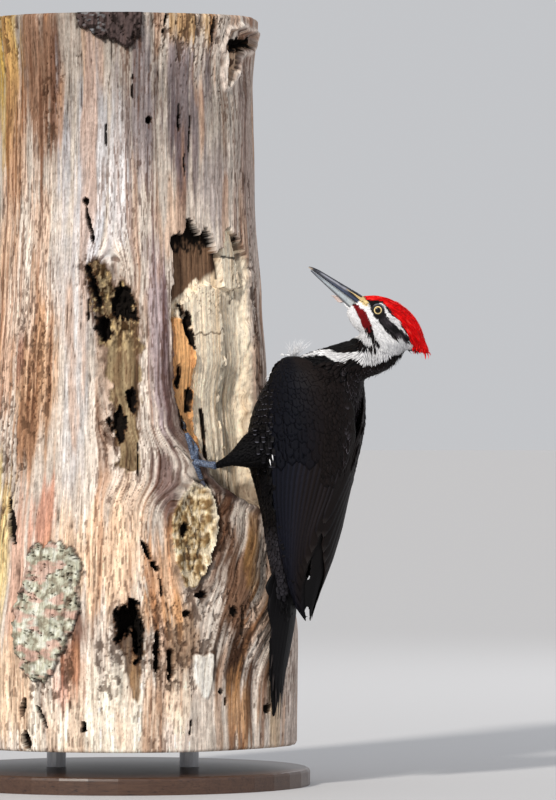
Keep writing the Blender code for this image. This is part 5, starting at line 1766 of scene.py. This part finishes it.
def make_eyes(eye, lid):
    """Balls with a dark pupil in a pale ring, and the bare rings of skin round them."""
    for name, mirror in (("left", 1), ("right", -1)):
        centre = head_point(np.multiply(EYE_AT, (1, 1, mirror)))
        axes = Matrix([HEAD_AXES[0] * mirror, HEAD_AXES[1], HEAD_AXES[2] * mirror]).transposed().to_4x4()
        at = Matrix.Translation(centre) @ axes
        bm = bmesh.new()
        bmesh.ops.create_uvsphere(bm, u_segments=64, v_segments=72, radius=EYE_RADIUS * MM, matrix=at)
        mesh = mesh_from(bm, "eyeball_" + name)
        place = head_place(points_of(mesh)) - np.multiply(EYE_AT, (1, 1, mirror))
        ring = np.where(place[:, 2] * mirror > 0, np.hypot(place[:, 0], place[:, 1]), 9)
        turn = np.arctan2(place[:, 1], place[:, 0])
        rays = 1 + 0.16 * np.sin(turn * 23) * np.sin(turn * 9 + 1)
        colours = flat(len(ring), (20, 17, 18))
        colours = layered(
            colours,
            (smooth((IRIS - ring) / 0.25), paint(244, 220, 158) * rays[:, None]),
            (0.85 * smooth((PUPIL + 0.4 - ring) / 0.25), (96, 58, 32)),
            (smooth((PUPIL - ring) / 0.2), (5, 5, 7)),
        )
        tint(mesh, "iris", colours)
        piece("eyeball_" + name, mesh, eye, ["eye_" + name])
        bm = bmesh.new()
        rows = [(4.0, 3.2, 0.42), (4.7, 2.7, 0.55), (5.6, 1.85, 0.5)]
        for radius, rise, thick in rows:
            profile = bmesh.ops.create_circle(bm, segments=10, radius=thick * MM)["verts"]
            upright = Matrix.Rotation(math.radians(90), 3, "X")
            bmesh.ops.rotate(bm, verts=profile, cent=(0, 0, 0), matrix=upright)
            bmesh.ops.translate(bm, verts=profile, vec=(radius * MM, 0, rise * MM))
            edges = [e for e in bm.edges if e.verts[0] in profile and e.verts[1] in profile]
            bmesh.ops.spin(
                bm, geom=edges, cent=(0, 0, 0), axis=(0, 0, 1), angle=math.tau, steps=56, use_merge=True
            )
        bmesh.ops.transform(bm, matrix=at, verts=bm.verts)
        bmesh.ops.recalc_face_normals(bm, faces=bm.faces)
        mesh = mesh_from(bm, "eyelids_" + name)
        place = head_place(points_of(mesh)) - np.multiply(EYE_AT, (1, 1, mirror))
        ring, turn = np.hypot(place[:, 0], place[:, 1]), np.arctan2(place[:, 1], place[:, 0])
        colours = flat(len(ring), (20, 18, 20))
        # A painted highlight: a pale grey arc on the upper outer rows of the lids
        top = smooth((np.cos(turn - math.radians(70)) - 0.35) / 0.4) * smooth((ring - 4.9) / 0.4)
        colours = layered(colours, (0.6 * top, (124, 128, 140)))
        tint(mesh, "marking", colours)
        piece("eyelids_" + name, mesh, lid)


def bill_rings(stations, sign, sides=30, steps=6):
    """Rings with a keeled ridge, a raised side line and flat cutting edges."""
    rows = np.array(stations, float)
    along = np.linspace(rows[0, 0], rows[-1, 0], steps * len(rows))
    depth, width = (np.interp(along, rows[:, 0], rows[:, k]) for k in (1, 2))
    kernel = np.array([0.25, 0.5, 0.25])
    for values in (depth, width):
        values[1:-1] = np.convolve(values, kernel, "same")[1:-1]
    rings = []
    for forward, deep, wide in zip(along, depth, width):
        ring = []
        for k in range(sides):
            turn = math.tau * k / sides
            rise = max(math.sin(turn), 0.0)
            keel = rise ** (0.92 if sign > 0 else 1.0)
            side = wide * math.cos(turn) * (1 - 0.40 * rise)
            shelf = 0.45 * math.exp(-(((rise - 0.42) / 0.16) ** 2)) * min(1, wide / 5) * (sign > 0)
            side += math.copysign(shelf, math.cos(turn))
            hollow = 0.35 * math.exp(-(((rise - 0.22) / 0.14) ** 2)) * min(1, wide / 4)
            side -= math.copysign(hollow, math.cos(turn)) * (abs(math.cos(turn)) > 0.1)
            ring.append(Vector(head_point((forward, MOUTH_LINE + sign * (0.18 + deep * keel), side))))
        rings.append(ring)
    return rings


def make_bill(horn):
    for name, stations, sign in (("upper", UPPER_BILL, 1), ("lower", LOWER_BILL, -1)):
        bm = bmesh.new()
        loft(bm, bill_rings(stations, sign))
        mesh = mesh_from(bm, "horn_" + name, 42)
        points = points_of(mesh)
        forward, up, side = head_place(points).T
        share = np.clip((up - MOUTH_LINE) / np.interp(forward, *np.array(stations)[:, :2].T) * sign, 0, 1)
        streak = noise(np.stack([forward / 8, up * 1.2, side * 1.2], axis=1), (1, 1, 1), 3, 40)
        if sign > 0:
            colours = flat(len(points), (23, 25, 35))
            # Painted light on the upper mandible: band is a painted highlight along its side, sheen a painted blue
            # sheen below it
            band = smooth(1 - np.abs(share - 0.66) / 0.26)
            band = band * smooth((forward - 40) / 10) * smooth((82 - forward) / 12)
            colours = layered(colours, (0.85 * band * smooth(0.8 - streak), (172, 174, 186)))
            sheen = smooth(1 - np.abs(share - 0.3) / 0.18) * smooth((74 - forward) / 20)
            colours = layered(
                colours,
                (0.55 * sheen, (62, 78, 112)),
                (0.7 * smooth((share - 0.9) / 0.1), (24, 24, 32)),
                (0.8 * smooth((forward - 82) / 4) * smooth((0.9 - share) / 0.4), (196, 178, 160)),
            )
        else:
            colours = flat(len(points), (176, 186, 192))
            colours = layered(
                colours,
                (0.8 * smooth((forward - 60) / 24), (74, 80, 100)),
                (0.6 * smooth((44 - forward) / 14), (206, 206, 198)),
                (0.75 * smooth((share - 0.62) / 0.2), (72, 72, 82)),
            )
        colours = layered(
            colours,
            (0.35 * smooth(streak), (30, 32, 44)),
            (0.7 * smooth((0.10 - share) / 0.1), (24, 24, 30)),
        )
        tint(mesh, "horn", colours)
        piece("horn_" + name, mesh, horn, ["bill_" + name])


def axis_of(name):
    """A CAD limb's middle and long direction."""
    points = points_of(NODES[name].data)
    middle = points.mean(axis=0)
    way = np.linalg.svd(points - middle, full_matrices=False)[2][0]
    return middle, way


def make_feet(scales, horn):
    for name in ("left", "right"):
        limbs = [f"shank_{name}"] + [f"toe_{name}_{k}" for k in range(1, 5)]
        whole = merged_copy(limbs, 0.25 * MM)
        shank = points_of(NODES[limbs[0]].data)
        palm = shank[np.argsort(np.hypot(shank[:, 0], shank[:, 1]))[:10]].mean(axis=0)
        palm = Matrix.Translation(palm - unit(palm[None] * (1, 1, 0))[0] * 0.6 * MM)
        bmesh.ops.create_icosphere(whole, subdivisions=2, radius=3.7 * MM, matrix=palm)
        mesh = remeshed(whole, "foot_" + name, 0.42 * MM, 2)
        points, ups = points_of(mesh), normals_of(mesh)
        at = node_at(points, limbs)
        groove = np.zeros(len(points))
        outward = unit(points * (1, 1, 0))
        for i, limb in enumerate(limbs):
            middle, way = axis_of(limb)
            run = (points - middle) @ way / MM
            pitch = 2.1 if i == 0 else 1.7
            facing = smooth(np.einsum("nd,nd->n", ups, outward) * 1.4 + 0.3)
            scute = np.abs((run / pitch) % 1 - 0.5) * 2
            groove = np.where(at == i, smooth((scute - 0.72) / 0.28) * (0.35 + 0.65 * facing), groove)
        cell = noise(points / MM, (0.9, 0.9, 0.9), 2, 50)
        points = points + ups * ((-0.5 * groove + 0.12 * cell + 0.35) * MM)[:, None]
        mesh.vertices.foreach_set("co", points.ravel())
        mesh.update()
        colours = flat(len(points), (74, 86, 108))
        colours = layered(
            colours,
            (0.7 * smooth(cell * 2.4), (116, 132, 158)),
            (0.6 * smooth(-cell * 2.4), (44, 52, 74)),
            (0.9 * groove, (20, 23, 32)),
        )
        tint(mesh, "scales", colours)
        piece("foot_" + name, mesh, scales, limbs)
        nails = [f"claw_{name}_{k}" for k in range(1, 5)]
        mesh = remeshed(merged_copy(nails, 0.1 * MM), "claws_" + name, 0.22 * MM, 2)
        points = points_of(mesh)
        starts = np.array([axis_of(n)[0] for n in limbs[1:]])
        away = np.linalg.norm(points[:, None] - starts[None], axis=2).min(axis=1)
        colours = layered(flat(len(points), (62, 64, 78)), (smooth((away / MM - 13) / 8), (22, 22, 28)))
        tint(mesh, "horn", colours)
        piece("claws_" + name, mesh, horn, nails)


def make_bristles(skin, whites):
    """Stiff buff feathers that run forward over the nostrils, along both sides of the bill."""
    bill = tree_of(NODES["bill_upper"].data)
    lines, ways, count = [], [], 170
    for mirror in (1, -1):
        for _ in range(count):
            start = 22.5 + 13 * RANDOM.random()
            high = 0.4 + 0.36 * (start - 22) + (3.9 - 0.1 * (start - 22)) * RANDOM.random()
            long = 6 + 7.5 * RANDOM.random()
            points, ups = [], []
            for k, rise in enumerate((high, high * 0.85 + 0.9, high * 0.5 + 2.4)):
                guess = Vector(head_point((start + long * k / 2, rise, (9.5 - 0.75 * k) * mirror)))
                trees = (skin.tree, bill) if k == 0 else (bill, skin.tree)
                near = [tree.find_nearest(guess) for tree in trees]
                best = max(near, key=lambda hit: head_place(np.array(hit[0]))[2] * mirror)
                place, way = (np.array(v) for v in best[:2])
                points.append(place + way * (0.2 + 0.35 * k + 0.4 * RANDOM.random()) * MM)
                ups.append(way)
            lines.append(points)
            ways.append(ups)
    base = varied(flat(len(lines), BUFF), 0.22)
    colours = graded(STRAND, base, base * (0.55, 0.5, 0.45))
    set_lines("nasal_bristles", STRAND, lines, ways, 0.42, 0.18, colours, (0.42, 10.0), whites)


def make_chin_tufts(whites):
    """Short pale bristles under the base of the lower bill."""
    bill = tree_of(NODES["bill_lower"].data)
    lines, ways, tones = [], [], []
    for mirror in (1, -1):
        for _ in range(130):
            start = 33 + 19 * RANDOM.random() ** 1.4
            guess = Vector(head_point((start, -13, (0.5 + 5 * RANDOM.random()) * mirror)))
            at, up = (np.array(v) for v in bill.find_nearest(guess)[:2])
            long = 2.6 + 2.6 * RANDOM.random()
            run = HEAD_AXES[0] * long - HEAD_AXES[1] * (1.2 + 1.6 * RANDOM.random())
            if start < 43.5:
                run = -HEAD_AXES[0] * (4 + 3 * RANDOM.random()) - HEAD_AXES[1] * (0.6 + 1.2 * RANDOM.random())
            lines.append([at - up * 0.3 * MM, at + (run * 0.5 + up * 0.8) * MM, at + (run + up * 0.8) * MM])
            ways.append([up] * 3)
            tones.append(WHITE * 0.9 if start < 43.5 else paint(216, 196, 188))
    base = varied(np.array(tones), 0.12)
    set_lines("chin_tufts", STRAND, lines, ways, 0.5, 0.2, graded(STRAND, base, base), (0.4, 4.0), whites)


def make_wisps(whites):
    """Loose white down that stands up from the front of each shoulder."""
    lines, ways, count = [], [], 46
    for mirror in (1, -1):
        for _ in range(count if mirror > 0 else count // 3):
            spread = RANDOM.standard_normal()
            root = np.array((195 + 2.4 * RANDOM.standard_normal(), 27 + 2.0 * RANDOM.standard_normal(), 398.5))
            lean = np.array((0.42 * spread + 0.45, 0.22 * RANDOM.standard_normal(), 1.0))
            long = (10 + 9 * RANDOM.random() if mirror > 0 else 5.0) * (1 - 0.1 * abs(spread))
            curl = np.array((0.9 * spread, 0.5 * RANDOM.standard_normal(), -0.4 * abs(spread)))
            marks = root, root + lean * long * 0.5, root + lean * long + curl
            lines.append([bird_point(p * (1, mirror, 1)) for p in marks])
            ways.append([BIRD_AXES[1] * mirror] * 3)
    base = flat(len(lines), WHITE)
    colours = graded(STRAND, base, base)
    set_lines("shoulder_wisps", STRAND, lines, ways, 0.25, 0.12, colours, (0.22, 12.0), whites)


def main():
    grain, barbs, mottle = grain_group(), barbs_group(), mottle_group()
    make_camera()
    make_lights()
    make_world()
    make_floor()
    wood = wood_material(grain)
    make_trunk(wood)
    make_stand(stand_board_material(grain), stand_metal_material(mottle))
    whites = plumage_material("plumage_white", barbs, 0.75, 2.2, Specular_IOR_Level=0.25)
    reds = plumage_material("plumage_red", barbs, 0.55, 2.2, Specular_IOR_Level=0.16)
    blacks = plumage_material("plumage_black", barbs, 0.6, 1.3, Specular_IOR_Level=0.1)
    down = spotted_material("down", mottle, "marking", 900.0, 0.0002, 0.9, Specular_IOR_Level=0.2)
    horn = spotted_material("horn", mottle, "horn", 500.0, 0.0001, 0.28, Specular_IOR_Level=0.5)
    scales = spotted_material("leg_scales", mottle, "scales", 900.0, 0.0001, 0.5, Specular_IOR_Level=0.5)
    lid = spotted_material("eyelid", mottle, "marking", 900.0, 0.0001, 0.5, Specular_IOR_Level=0.4)
    eye = spotted_material("eye", mottle, "iris", 700.0, 0.0, 0.25, Specular_IOR_Level=0.15, Coat_Weight=0.3)
    skin = Skin(*make_skin(down))
    make_head_coat(skin, whites, reds)
    make_neck_coat(skin, whites)
    make_crest_end(skin, reds)
    make_nape_fringe(skin, blacks)
    make_body_coat(skin, blacks)
    make_flank_rows(skin, blacks)
    make_mantle(skin, blacks)
    make_shoulder_edge(skin, whites)
    make_wing("left", 1, blacks)
    make_wing("right", -1, blacks)
    make_tail(blacks)
    make_eyes(eye, lid)
    make_bill(horn)
    make_feet(scales, horn)
    make_bristles(skin, whites)
    make_chin_tufts(whites)
    make_wisps(whites)


main()
